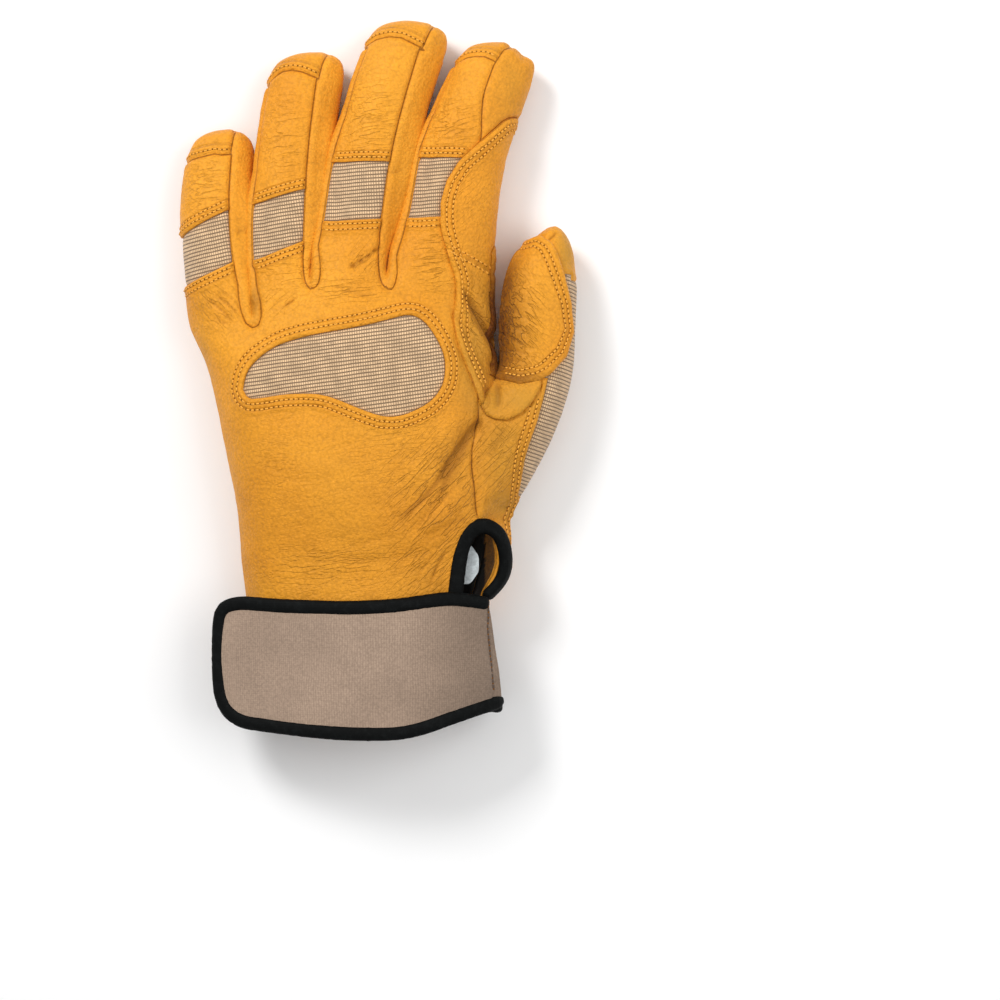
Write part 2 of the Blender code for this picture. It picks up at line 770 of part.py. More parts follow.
def write_object(name, points, faces, material_name):
    mesh = bpy.data.meshes.new(name)
    mesh.from_pydata([Vector(p) * MM for p in points], [], faces)
    mesh.update()
    made = bmesh.new()
    made.from_mesh(mesh)
    bmesh.ops.triangulate(made, faces=[f for f in made.faces if len(f.verts) > 3])
    bmesh.ops.recalc_face_normals(made, faces=made.faces)
    if made.calc_volume(signed=True) < 0:
        bmesh.ops.reverse_faces(made, faces=made.faces)
    made.to_mesh(mesh)
    made.free()
    mesh.shade_smooth()
    mesh.set_sharp_from_angle(angle=math.radians(40))
    mesh.materials.append(material(material_name))
    obj = bpy.data.objects.new(name, mesh)
    bpy.context.scene.collection.objects.link(obj)
    return obj


def wall_from(name, faces, lift, sink, material_name, gap):
    """A closed wall over these faces of the skin, from sink below it to lift above it."""
    faces = set(faces)
    verts = sorted({v for f in faces for v in f.verts}, key=lambda v: v.index)
    place = {v: i for i, v in enumerate(verts)}
    shifts = [step_back(v, faces, gap) for v in verts]
    outer = [v.co + s + v.normal * lift for v, s in zip(verts, shifts)]
    for point in outer:
        point.z = max(point.z, 0.0)
    inner = [v.co + s + s.normalized() * SEAM_TAPER - v.normal * sink for v, s in zip(verts, shifts)]
    count = len(verts)
    solid = []
    for face in faces:
        corners = [place[v] for v in face.verts]
        solid.append(corners)
        solid.append([c + count for c in reversed(corners)])
        for loop in face.loops:
            if sum(f in faces for f in loop.edge.link_faces) == 1:
                a, b = place[loop.vert], place[loop.link_loop_next.vert]
                solid.append([b, a, a + count, b + count])
    return write_object(name, outer + inner, solid, material_name)


# What each panel is made of, and how far it stands over the skin and reaches below it
def panel_build(name):
    if name.startswith("finger_inset") or name in ("knuckle_inset", "thumb_stretch"):
        return -FABRIC_SINK, FABRIC_SINK + FABRIC_WALL, "stretch_fabric"
    if name == "cuff_band":
        return 0.0, CUFF_WALL, "neoprene"
    if name in ("web_patch", "thumb_pad"):
        return PATCH_LIFT, LEATHER_WALL - PATCH_LIFT, "leather"
    return 0.0, LEATHER_WALL, "leather"


def make_panels(skin, cage):
    for number, name in enumerate(cage.names):
        faces = [f for f in skin.faces if f.material_index == number]
        lift, sink, material_name = panel_build(name)
        gap = SEAM_GAP * (2.6 if name.startswith("side_strip") else 1.0)
        wall_from(name, faces, lift, sink, material_name, gap)


# Corners of a binding's section, as shares of its width and thickness
BINDING_SECTION = ((-0.5, -0.22), (-0.5, 0.22), (-0.24, 0.5), (0.24, 0.5), (0.5, 0.22), (0.5, -0.22), (0.24, -0.5), (-0.24, -0.5))


def bar(name, frames, material_name):
    """A bar with a binding's section through these frames, each (centre, across, up)."""
    points, faces = [], []
    count = len(BINDING_SECTION)
    for centre, across, up in frames:
        for width, thickness in BINDING_SECTION:
            points.append(centre + across * width * BINDING_WIDTH + up * thickness * BINDING_THICKNESS)
    for step in range(len(frames) - 1):
        for corner in range(count):
            after = (corner + 1) % count
            low = step * count
            faces.append([low + corner, low + after, low + count + after, low + count + corner])
    faces.append(list(range(count)))
    last = (len(frames) - 1) * count
    faces.append([last + c for c in reversed(range(count))])
    return write_object(name, points, faces, material_name)


def open_border(skin):
    """The open edge of the skin at the hem and the slit, as points in order from the back lip round the hem."""
    edges = [e for e in skin.edges if is_bound(e)]
    links = {}
    for edge in edges:
        for vert in edge.verts:
            links.setdefault(vert, []).append(edge)
    start = max(links, key=lambda v: v.co.y)
    first = min(links[start], key=lambda e: e.other_vert(start).co.x)
    order, edge, vert = [start], first, start
    while True:
        vert = edge.other_vert(vert)
        if vert is start:
            return order
        order.append(vert)
        edge = next(e for e in links[vert] if e is not edge)


def border_frames(skin, verts, wall):
    """Frames for a binding along these border points, centred in a wall of this thickness."""
    frames = []
    for number, vert in enumerate(verts):
        before = verts[max(0, number - 1)].co
        after = verts[min(len(verts) - 1, number + 1)].co
        along = (after - before).normalized()
        up = vert.normal - along * vert.normal.dot(along)
        up.normalize()
        frames.append((vert.co - up * wall / 2, up.cross(along), up))
    return frames


def make_bindings(skin):
    border = open_border(skin)
    low = min(v.co.y for v in border)
    corners = [n for n, v in enumerate(border) if v.co.y < low + HEM_RISE + 1.0]
    hem = border[corners[0]:corners[-1] + 1]
    bar("hem_binding", lifted(border_frames(skin, hem, CUFF_WALL)), "black_binding")
    slit = border[corners[-1] + 1:] + border[:corners[0]]
    bar("slit_binding", clear_of_strap(border_frames(skin, slit, LEATHER_WALL)), "black_binding")


def strap_top(x):
    """Where the strap's top edge lies at this place across the wrist."""
    along = (strap_place(0, 0).x - x) / STRAP_LENGTH
    for (before, low, _), (after, high, _) in zip(STRAP_ROWS, STRAP_ROWS[1:]):
        if along <= after:
            share = max(0.0, (along - before) / (after - before))
            return strap_place(along, mix(low, high, share)).y
    return strap_place(1, 0).y


def clear_of_strap(frames):
    """The frames on the hand's side of the strap, with both ends brought to the strap's top edge."""
    over = [f[0].y - strap_top(f[0].x) - CLEARANCE for f in frames]
    kept = [number for number, distance in enumerate(over) if distance > 1.0]
    first, last = kept[0], kept[-1]
    ends = []
    for inner, outer in ((first, first - 1), (last, last + 1)):
        share = over[inner] / (over[inner] - over[outer])
        ends.append(tuple(a.lerp(b, share) for a, b in zip(frames[inner], frames[outer])))
    return [ends[0]] + frames[first:last + 1] + [ends[1]]


def lifted(frames):
    """The same frames, raised where the binding would reach below the resting height."""
    raised = []
    for centre, across, up in frames:
        reach = abs(across.z) * BINDING_WIDTH / 2 + abs(up.z) * BINDING_THICKNESS / 2
        raised.append((Vector((centre.x, centre.y, max(centre.z, reach + 0.05))), across, up))
    return raised


def strap_height(x):
    """Height of the strap's middle layer: over the cuff's section, then straight on to the free end."""
    stand = CLEARANCE + (BINDING_THICKNESS - CUFF_WALL) / 2 + BINDING_THICKNESS / 2 + STRAP_STAND
    half_width = CUFF_WIDTH / 2 + stand
    half_depth = CUFF_DEPTH / 2 + stand
    leave = -0.70
    offset = (x - CUFF_CENTRE_X) / half_width
    held = max(offset, leave)
    height = arch_height(held)
    if offset < leave:
        step = 0.01
        height += (arch_height(leave + step) - arch_height(leave)) / step * (offset - leave)
    return CUFF_DEPTH / 2 - REST_SINK + height * half_depth


def strap_frame(x, y):
    step = 0.2
    rise = (strap_height(x + step) - strap_height(x - step)) / (2 * step)
    up = Vector((-rise, 0, 1)).normalized()
    return Vector((x, y, strap_height(x))), up


def strap_outline():
    """The strap's border in the plane: along the top to the free end, and back along the bottom."""
    top, bottom = [], []
    for along, high, low in STRAP_ROWS:
        top.append(strap_place(along, high))
        bottom.append(strap_place(along, low))
    return top + bottom[::-1]


def inset_outline(outline, distance):
    """The outline stepped inwards, with the direction that it was stepped in."""
    stepped = []
    for number, point in enumerate(outline):
        if number in (0, len(outline) - 1):
            inward = Vector((0, -1 if number == 0 else 1))
        else:
            before = (point - outline[number - 1]).normalized()
            after = (outline[number + 1] - point).normalized()
            along = (before + after).normalized()
            inward = Vector((-along.y, along.x)) / max(0.6, along.dot(before))
        stepped.append((point + inward * distance, inward.normalized()))
    return stepped


def make_strap():
    outline = strap_outline()
    frames = []
    for point, inward in inset_outline(outline, BINDING_WIDTH / 2):
        centre, up = strap_frame(point.x, point.y)
        across = Vector((inward.x, inward.y, 0))
        across = (across - up * across.dot(up)).normalized()
        frames.append((centre, across, up))
    bar("strap_binding", frames, "black_binding")
    edge = [point for point, _ in inset_outline(outline, BINDING_WIDTH + CLEARANCE)]
    rows = len(STRAP_ROWS)
    upper, lower = edge[:rows], edge[rows:][::-1]
    across_cuts = 3
    points, faces = [], []
    for side in (0.5, -0.5):
        for top, bottom in zip(upper, lower):
            for cut in range(across_cuts + 1):
                at = top.lerp(bottom, cut / across_cuts)
                centre, up = strap_frame(at.x, at.y)
                points.append(centre + up * side * STRAP_WALL)
    width = across_cuts + 1
    half = rows * width
    for row in range(rows - 1):
        for cut in range(across_cuts):
            a = row * width + cut
            faces.append([a, a + 1, a + width + 1, a + width])
            faces.append([half + a, half + a + width, half + a + width + 1, half + a + 1])
    ring = (
        list(range(width)) + [r * width + across_cuts for r in range(1, rows)]
        + [(rows - 1) * width + c for c in range(across_cuts - 1, -1, -1)]
        + [r * width for r in range(rows - 2, 0, -1)]
    )
    for a, b in zip(ring, ring[1:] + ring[:1]):
        faces.append([a, b, b + half, a + half])
    write_object("wrist_strap", points, faces, "neoprene")


def make_tab():
    """The leather tab over the cuff's palm side, flat on the rest surface, with its clip hole."""
    columns = 24
    points, faces = [], []
    for z in (0.0, TAB_WALL):
        for number in range(columns):
            turn = 2 * math.pi * number / columns
            c, s = math.cos(turn), math.sin(turn)
            reach = 1 / max(abs(c) / (TAB_WIDTH / 2), abs(s) / (TAB_LENGTH / 2))
            centre = tab_centre()
            points.append(Vector((centre.x + c * reach, centre.y + s * reach, z)))
            points.append(Vector((centre.x + c * HOLE_WIDTH / 2, centre.y + s * HOLE_LENGTH / 2, z)))
    half = 2 * columns
    for number in range(columns):
        a = 2 * number
        b = 2 * ((number + 1) % columns)
        faces.append([a, a + 1, b + 1, b])
        faces.append([half + a, half + b, half + b + 1, half + a + 1])
        faces.append([a, b, b + half, a + half])
        faces.append([a + 1, a + 1 + half, b + 1 + half, b + 1])
    write_object("heel_tab", points, faces, "leather")


def make_label(skin):
    """The label inside the slit, under the back of the hand."""
    ring = dict(hand_rows())["slit"]
    lip = ring[RIGHT_CORNER] + Vector((SLIT_ROWS["slit"][0] * CUFF_WIDTH, 0, 0))
    centre = Vector((lip.x + LABEL_SHIFT[0], lip.y + LABEL_SHIFT[1], 0))
    corners = []
    for x, y in ((-1, -1), (1, -1), (1, 1), (-1, 1)):
        corners.append(centre + Vector((x * LABEL_WIDTH / 2, y * LABEL_LENGTH / 2, 0)))
    lip_heights = [
        v.co.z for v in open_border(skin)
        if v.co.x < centre.x + LABEL_WIDTH / 2 and abs(v.co.y - centre.y) < LABEL_LENGTH
    ]
    top = min(lip_heights) - LEATHER_WALL / 2 - BINDING_THICKNESS / 2 - CLEARANCE
    points = [c + Vector((0, 0, top)) for c in corners] + [c + Vector((0, 0, top - LABEL_WALL)) for c in corners]
    faces = [[0, 1, 2, 3], [7, 6, 5, 4]] + [[a, (a + 1) % 4, (a + 1) % 4 + 4, a + 4] for a in range(4)]
    write_object("inner_label", points, faces, "label")


def main():
    clear_scene()
    cage = hand_cage()
    skin = smooth_surface(cage)
    settle(skin)
    recut_panels(skin, cage)
    open_wrist_hole(skin, cage)
    skin.verts.index_update()
    make_panels(skin, cage)
    make_bindings(skin)
    make_strap()
    make_tab()
    make_label(skin)


main()
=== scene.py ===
"""The dressed look of the left-hand leather glove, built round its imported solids.

The skin is grown again from the same cage as the solids, on a finer grid, and split at the same seams. Each
panel then gets its own seam edges, folds and wrinkles, and stands for its solid. Stitches run at set
distances from the seams. The shaping is plain mesh work in millimetres, with no cloth simulation.
"""

import math

import bmesh
import bpy
import numpy as np
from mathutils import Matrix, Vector, noise
from mathutils.bvhtree import BVHTree
from mathutils.kdtree import KDTree


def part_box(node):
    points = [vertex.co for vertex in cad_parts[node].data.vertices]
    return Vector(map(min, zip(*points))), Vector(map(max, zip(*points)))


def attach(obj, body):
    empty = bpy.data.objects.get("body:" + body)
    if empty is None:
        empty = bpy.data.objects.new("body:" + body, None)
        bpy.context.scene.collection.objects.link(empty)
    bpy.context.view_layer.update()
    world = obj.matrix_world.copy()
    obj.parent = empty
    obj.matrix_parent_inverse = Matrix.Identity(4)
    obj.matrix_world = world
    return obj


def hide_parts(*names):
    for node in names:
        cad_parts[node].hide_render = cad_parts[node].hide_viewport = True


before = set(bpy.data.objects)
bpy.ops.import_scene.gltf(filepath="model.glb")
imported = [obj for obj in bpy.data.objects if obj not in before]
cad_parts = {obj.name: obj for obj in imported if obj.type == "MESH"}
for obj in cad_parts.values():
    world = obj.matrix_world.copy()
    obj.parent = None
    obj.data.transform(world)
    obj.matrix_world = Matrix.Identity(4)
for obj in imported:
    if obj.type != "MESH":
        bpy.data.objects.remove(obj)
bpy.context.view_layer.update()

MM = 0.001

# Driving sizes of the hand
PALM_LENGTH = 112.0
PALM_WIDTH = 104.0
PALM_DEPTH = 40.0
PALM_CENTRE_X = -11.0
WRIST_EDGE_Y = -81.5
THUMB_LENGTH = 84.0
THUMB_WIDTH = 28.0
THUMB_DEPTH = 25.0
THUMB_ROOT_ACROSS = 0.9952
THUMB_ROOT_ALONG = 0.5134
FINGER_ROOT_Z = 16.5
FINGER_TIP_SHARE = 0.38
FINGER_ARCH = 1.5

# Driving sizes of the cuff and what is on it
CUFF_LENGTH = 38.5
CUFF_WIDTH = 88.0
CUFF_DEPTH = 35.0
CUFF_CENTRE_X = -1.5
HEM_RISE = 5.0
STRAP_LENGTH = 101.0
STRAP_WIDTH = 49.0
STRAP_WALL = 2.4
STRAP_STAND = 0.7
STRAP_END_OVER = 0.4
STRAP_RISE = 5.5
BINDING_WIDTH = 5.0
BINDING_THICKNESS = 4.0
TAB_WIDTH = 33.0
TAB_LENGTH = 36.0
TAB_WALL = 1.1
TAB_ASIDE = -8.8
TAB_BELOW = 16.5
HOLE_WIDTH = 17.0
HOLE_LENGTH = 20.0

# Walls and gaps
LEATHER_WALL = 1.6
FABRIC_WALL = 1.3
CUFF_WALL = 2.4
FABRIC_SINK = 0.4
CLEARANCE = 0.35

# How the skin is shaped
SECTION_POWER = 2.4
CORNER_SHARE = 0.84
PALM_CAGE = 1.05
RING_CAGE = 1.108
REST_SOFTNESS = 2.0
REST_SINK = 3.0
SNAP_SHARE = 0.15
LEVELS = 4
WELD = 0.001
WRIST_NARROWING = 0.985
CROTCH_FOLLOW = 0.8
WEB_RISE = 0.055
THUMB_HOLE_ROWS = (4, 5)

# How the slit's lips lie in the cage: how far each drops towards its neighbour, and how far that one follows
BACK_LIP_DROP = 0.9
THUMB_LIP_DROP = 0.25
LIP_NEIGHBOUR = 0.55

# Where the underside steps up onto the tab, from the wrist's edge, and over what length
TAB_STEP_START = 10.0
TAB_STEP_LENGTH = 9.0

# Where the drawn outlines count, as shares of PALM_LENGTH, and which faces of the band face down
WEB_PATCH_FROM = 0.52
STRETCH_FROM = 0.36
FACING_DOWN = -0.5

# Crotches between the fingers, ulnar side first: place across the palm, and reach on the back and on the palm
CROTCHES = (
    # across, back, front (shares of PALM_WIDTH and PALM_LENGTH)
    (0.000, 0.870, 0.900),
    (0.188, 0.850, 0.925),
    (0.385, 0.975, 1.020),
    (0.655, 0.968, 1.000),
    (1.000, 0.965, 0.990),
)

FINGER_NAMES = ("little", "ring", "middle", "index")
FINGERS = {
    # root (shares of PALM_WIDTH and PALM_LENGTH), reach from root to tip, sideways bow, widths, depth, roll
    # at root and tip, seam slant, and shares of the length at the stretch inset's edges and at the tip seam
    "little": dict(
        root=(0.0962, 0.8964), reach=(-0.6, 71.7), bow=-3.4, root_width=24.5, tip_width=25.0, depth=20.5,
        roll=(16.0, 24.0), slant=25.0, tip_slant=0.35, inset=(0.27, 0.528), cap=0.81,
    ),
    "ring": dict(
        root=(0.2962, 0.9866), reach=(9.4, 88.4), bow=-3.0, root_width=25.5, tip_width=27.5, depth=22.0,
        roll=(8.0, 28.0), slant=20.0, tip_slant=0.7, inset=(0.185, 0.378), cap=0.865,
    ),
    "middle": dict(
        root=(0.5337, 0.9938), reach=(21.9, 97.9), bow=-5.2, root_width=28.0, tip_width=29.0, depth=23.5,
        roll=(8.0, 25.0), slant=11.0, tip_slant=1.5, inset=(0.263, 0.440), cap=0.885,
    ),
    "index": dict(
        root=(0.8385, 0.9866), reach=(22.0, 91.3), bow=-6.8, root_width=33.0, tip_width=27.0, depth=23.5,
        roll=(8.0, 32.0), slant=10.0, tip_slant=1.9, inset=(0.30, 0.497), cap=0.875,
    ),
}

# Sections past the tip seam: share of the way from the seam to the tip, and shares of the width and depth
FINGER_END_ROWS = (
    # along, width, depth
    (0.62, 0.82, 0.76),
)

# Sections of the palm from the hem to the crotches. Lengths are shares of the palm or the cuff.
PALM_ROWS = (
    # name, along (of PALM_LENGTH), width and depth (of PALM_WIDTH and PALM_DEPTH), centre shift (of
    # PALM_WIDTH), spread of the columns from even (0) to the crotches' places (1)
    ("slit", 0.155, 0.915, 0.880, 0.100, 0.00),
    ("apex", 0.300, 0.905, 1.000, 0.096, 0.10),
    ("thumb", 0.500, 0.940, 1.020, 0.062, 0.30),
    ("web", 0.710, 0.950, 0.990, 0.030, 0.60),
    ("knuckle", 0.860, 0.970, 0.930, 0.008, 0.85),
)
CROTCH_ROW = (1.030, 0.850, -0.021)

# Sections of the thumb from its root to its tip
THUMB_ROWS = (
    # along and sideways (shares of THUMB_LENGTH, from the root), heading in degrees from +X, roll in
    # degrees, half width and half depth (shares of THUMB_WIDTH and THUMB_DEPTH), height (of PALM_DEPTH)
    (0.095, 0.066, 52.0, -8.0, 0.61, 0.62, 0.42),
    (0.290, 0.200, 86.0, 0.0, 0.430, 0.545, 0.39),
    (0.500, 0.178, 84.0, 12.0, 0.485, 0.53, 0.365),
    (0.720, 0.205, 83.0, 14.0, 0.455, 0.50, 0.345),
    (0.875, 0.228, 83.0, 14.0, 0.340, 0.38, 0.325),
)
THUMB_TIP = (0.955, 0.240, 0.315)

# Where the seam from the thumb to the slit leans towards the back of the hand, as shares of CUFF_WIDTH
SEAM_LEAN = {"apex": -0.055, "thumb": -0.035}

# Where the wrist slit is open: how far each lip stands from the seam that it ends
SLIT_ROWS = {
    # row name: (shift of the back lip, shift of the thumb lip), shares of CUFF_WIDTH
    "slit": (-0.147, 0.045),
    "edge": (-0.120, 0.050),
    "cuff": (-0.120, 0.050),
    "hem": (-0.120, 0.050),
}

# The strap's edges, from its sewn end to its free end
STRAP_ROWS = (
    # along (of STRAP_LENGTH), top and bottom (of STRAP_WIDTH)
    (0.000, 0.001, -0.785),
    (0.080, 0.025, -0.835),
    (0.174, 0.044, -0.906),
    (0.260, 0.020, -0.970),
    (0.347, -0.006, -1.006),
    (0.440, -0.018, -1.010),
    (0.538, -0.024, -1.006),
    (0.640, -0.018, -0.990),
    (0.740, -0.012, -0.968),
    (0.820, -0.002, -0.950),
    (0.885, 0.008, -0.935),
    (0.938, -0.010, -0.878),
    (0.972, -0.055, -0.792),
    (0.993, -0.160, -0.635),
)

# The knuckle inset's outline seen from above, as shares of PALM_WIDTH and PALM_LENGTH from the wrist edge
KNUCKLE_INSET = (
    (0.160, 0.693), (0.177, 0.756), (0.244, 0.815), (0.345, 0.850), (0.563, 0.887), (0.698, 0.923),
    (0.756, 0.912), (0.806, 0.856), (0.840, 0.793), (0.840, 0.756), (0.826, 0.693), (0.783, 0.650),
    (0.682, 0.606), (0.631, 0.606), (0.563, 0.628), (0.429, 0.675), (0.294, 0.675), (0.170, 0.670),
)

# The web patch's edges: shares of PALM_WIDTH across, and of PALM_LENGTH along up to 1. What is over 1 is a
# share of the index finger's length.
WEB_EDGE_BACK = (
    (1.160, 1.728), (1.050, 1.650), (0.950, 1.549), (0.880, 1.477), (0.840, 1.405), (0.820, 1.322),
    (0.820, 1.227), (0.850, 1.107), (0.885, 1.000), (0.892, 0.900), (0.910, 0.800), (0.950, 0.705),
    (1.010, 0.600),
)
WEB_EDGE_FRONT = (
    (1.160, 1.728), (1.050, 1.632), (0.960, 1.513), (0.880, 1.382), (0.850, 1.239), (0.860, 1.095),
    (0.890, 0.960), (0.910, 0.850), (0.940, 0.740), (1.000, 0.660), (1.100, 0.600), (1.250, 0.560),
)

# The stretch strip's edge beside the thumb's base: shares of THUMB_LENGTH across and along, from the root
STRETCH_EDGE_THUMB = (
    (0.303, 0.582), (0.229, 0.290), (0.208, 0.198), (0.187, 0.116), (0.157, 0.032), (0.132, -0.053),
    (0.108, -0.186), (0.099, -0.351),
)

# The cage has two columns to a finger on the back and on the palm, and one down the middle of each side
BACK_COLUMNS = 2 * len(FINGER_NAMES) + 1
COLUMNS = 2 * BACK_COLUMNS + 2
RIGHT_CORNER = BACK_COLUMNS - 1
RIGHT_MIDDLE = RIGHT_CORNER + 1
RIGHT_PALM_CORNER = RIGHT_CORNER + 2
LEFT_MIDDLE = COLUMNS - 1
LEFT_PALM_CORNER = COLUMNS - 2


def mix(a, b, share):
    return a + (b - a) * share


def palm_x(across):
    return PALM_CENTRE_X + (across - 0.5) * PALM_WIDTH


def palm_y(along):
    return WRIST_EDGE_Y + along * PALM_LENGTH


def thumb_place(across, along):
    """A point in the plane, from shares of the thumb's length across and along from its root."""
    return Vector((
        palm_x(THUMB_ROOT_ACROSS) + across * THUMB_LENGTH,
        palm_y(THUMB_ROOT_ALONG) + along * THUMB_LENGTH,
    ))


def tab_centre():
    return Vector((CUFF_CENTRE_X + TAB_ASIDE, WRIST_EDGE_Y - TAB_BELOW))


def strap_place(along, down):
    """A point in the plane, from shares of the strap's length from its sewn end and of its width down."""
    return Vector((
        CUFF_CENTRE_X + CUFF_WIDTH / 2 + STRAP_END_OVER - along * STRAP_LENGTH,
        WRIST_EDGE_Y + STRAP_RISE + down * STRAP_WIDTH,
    ))


def arch_height(offset):
    """Height of the section curve over its centre, both as shares of the half sizes."""
    return (1 - min(1.0, abs(offset)) ** SECTION_POWER) ** (1 / SECTION_POWER)


def column_shares(spread):
    """Places of the back's columns between its corners: even, or following the crotches."""
    shares = []
    for column in range(BACK_COLUMNS):
        left = CROTCHES[column // 2][0]
        right = CROTCHES[(column + 1) // 2][0]
        shares.append(mix(column / (BACK_COLUMNS - 1), (left + right) / 2, spread))
    return shares


def palm_ring(y, centre_x, width, depth, spread, y_shift=None):
    """The ring of cage points round the palm or cuff. y_shift(column) moves a point along the hand."""
    half_width = width / 2 * PALM_CAGE
    half_depth = depth / 2
    middle_z = half_depth - REST_SINK
    points = []
    shares = column_shares(spread)
    for column in range(COLUMNS):
        if column == RIGHT_MIDDLE:
            place, height = 1.0, 0.0
        elif column == LEFT_MIDDLE:
            place, height = -1.0, 0.0
        elif column <= RIGHT_CORNER:
            place = CORNER_SHARE * (2 * shares[column] - 1)
            height = arch_height(place)
        else:
            place = CORNER_SHARE * (2 * shares[LEFT_PALM_CORNER - column] - 1)
            height = -arch_height(place)
        shift = y_shift(column) if y_shift else 0.0
        points.append(
            Vector((centre_x + place * half_width, y + shift, middle_z + height * half_depth * PALM_CAGE))
        )
    return points


def crotch_shift(blend):
    """How far each column's point lies from the straight row, where the crotches step up and down."""

    def shift(column):
        if column in (RIGHT_MIDDLE, LEFT_MIDDLE):
            end = CROTCHES[-1] if column == RIGHT_MIDDLE else CROTCHES[0]
            reach = (end[1] + end[2]) / 2
        else:
            side = 1 if column <= RIGHT_CORNER else 2
            place = column if column <= RIGHT_CORNER else LEFT_PALM_CORNER - column
            reach = (CROTCHES[place // 2][side] + CROTCHES[(place + 1) // 2][side]) / 2
        return (reach - 1) * PALM_LENGTH * blend

    return shift


def hem_shift(column):
    """How far the hem rises towards the thumb."""
    place = min(column, LEFT_PALM_CORNER - column) if column <= LEFT_PALM_CORNER else -1
    across = (place if column <= RIGHT_CORNER else LEFT_PALM_CORNER - column) / RIGHT_CORNER
    return HEM_RISE * max(0.0, across - 0.5) * 2


def finger_centre(finger, share):
    root = Vector((palm_x(finger["root"][0]), palm_y(finger["root"][1])))
    line = Vector(finger["reach"])
    side = Vector((line.y, -line.x)).normalized()
    at = root + line * share + side * finger["bow"] * 4 * share * (1 - share)
    z = mix(FINGER_ROOT_Z, finger["depth"] * FINGER_TIP_SHARE, share) + FINGER_ARCH * 4 * share * (1 - share)
    return Vector((at.x, at.y, z))


def finger_ring(finger, share, width_share=1.0, depth_share=1.0, slant_share=1.0):
    """Eight points round a finger: three on the back, the right side, three on the palm, the left side."""
    centre = finger_centre(finger, share)
    step = 0.02
    heading = (finger_centre(finger, share + step) - finger_centre(finger, share - step)).normalized()
    side = Vector((heading.y, -heading.x, 0)).normalized()
    up = side.cross(heading)
    half_width = mix(finger["root_width"], finger["tip_width"], share) / 2 * RING_CAGE * width_share
    half_depth = finger["depth"] / 2 * RING_CAGE * depth_share
    roll = math.radians(mix(*finger["roll"], share))
    slope = math.tan(math.radians(finger["slant"])) * slant_share
    points = []
    for corner in range(8):
        angle = math.radians(135 - 45 * corner) + roll
        across = math.cos(angle) * half_width
        points.append(centre + side * across + up * math.sin(angle) * half_depth + heading * across * slope)
    return points


def thumb_ring(row):
    along, sideways, heading, roll, half_width, half_depth, height = row
    centre = Vector((*thumb_place(sideways, along), height * PALM_DEPTH))
    turn = math.radians(heading)
    web = Vector((-math.sin(turn), math.cos(turn), 0))
    up = Vector((0, 0, 1))
    points = []
    for corner in range(8):
        # Corner 0 is between the web side and the back, and the corners run on towards the palm.
        angle = math.radians(45 - 45 * corner + roll)
        points.append(
            centre
            + web * math.cos(angle) * half_width * THUMB_WIDTH * RING_CAGE
            + up * math.sin(angle) * half_depth * THUMB_DEPTH * RING_CAGE
        )
    return points


class Cage:
    """A cage of four-sided faces, each with the name of the panel that it belongs to."""

    def __init__(self):
        self.points = []
        self.faces = []
        self.panels = []
        self.names = []

    def add(self, points):
        start = len(self.points)
        self.points.extend(points)
        return list(range(start, len(self.points)))

    def face(self, corners, panel):
        if panel not in self.names:
            self.names.append(panel)
        self.faces.append(corners)
        self.panels.append(self.names.index(panel))


def palm_panel_name(row, column):
    """The panel of the face above this row, between this column and the next."""
    if row < 2:
        return "cuff_band"
    if column < RIGHT_CORNER or column == LEFT_MIDDLE:
        return "back_panel"
    if row < 4:
        if column == RIGHT_CORNER or (row == 2 and column == RIGHT_MIDDLE):
            return "thumb_base"
        return "thumb_stretch" if column == RIGHT_MIDDLE else "heel_panel"
    if column in (RIGHT_CORNER, RIGHT_MIDDLE):
        return "web_patch"
    return "palm_panel"


def finger_panel_name(name, corner, row):
    """The panel of a finger's face. Rows run: root, inset, back, tip seam, tip."""
    number = FINGER_NAMES.index(name)
    back = corner in (0, 1) or (corner == 7 and number == 0)
    front = corner in (4, 5) or (corner == 6 and number == 0)
    if row >= 4:
        return f"fingertip_{name}"
    if back:
        return ("back_panel", f"finger_inset_{name}", f"finger_back_{name}", f"finger_back_{name}")[row]
    if front:
        return ("palm_panel", f"finger_front_{name}", f"finger_front_{name}", f"fingertip_{name}")[row]
    if corner in (2, 3) and name == "index":
        return "index_side"
    between = number if corner in (2, 3) else number - 1
    return f"side_strip_{FINGER_NAMES[between]}_{FINGER_NAMES[between + 1]}"


def thumb_panel_name(corner, row):
    """The panel of a thumb's face. Corners 0, 1 face the index finger, 2, 3 the palm side, 4, 5 outwards."""
    if row >= 5:
        return "thumb_tip"
    if corner == 4 or (corner == 5 and row > 1):
        return "thumb_tip" if row == 4 else "thumb_stretch"
    if row < 2:
        if corner in (0, 1):
            return "web_patch"
        return "palm_panel" if corner in (2, 3) else "thumb_base"
    return "thumb_front" if corner in (1, 2, 3) else "thumb_pad"


def close_end(cage, ring, tip, panel):
    """Four faces that close a ring of eight points over a middle point."""
    middle = cage.add([tip])[0]
    for corner in (0, 2, 4, 6):
        cage.face([ring[(corner - 1) % 8], ring[corner], ring[(corner + 1) % 8], middle], panel)


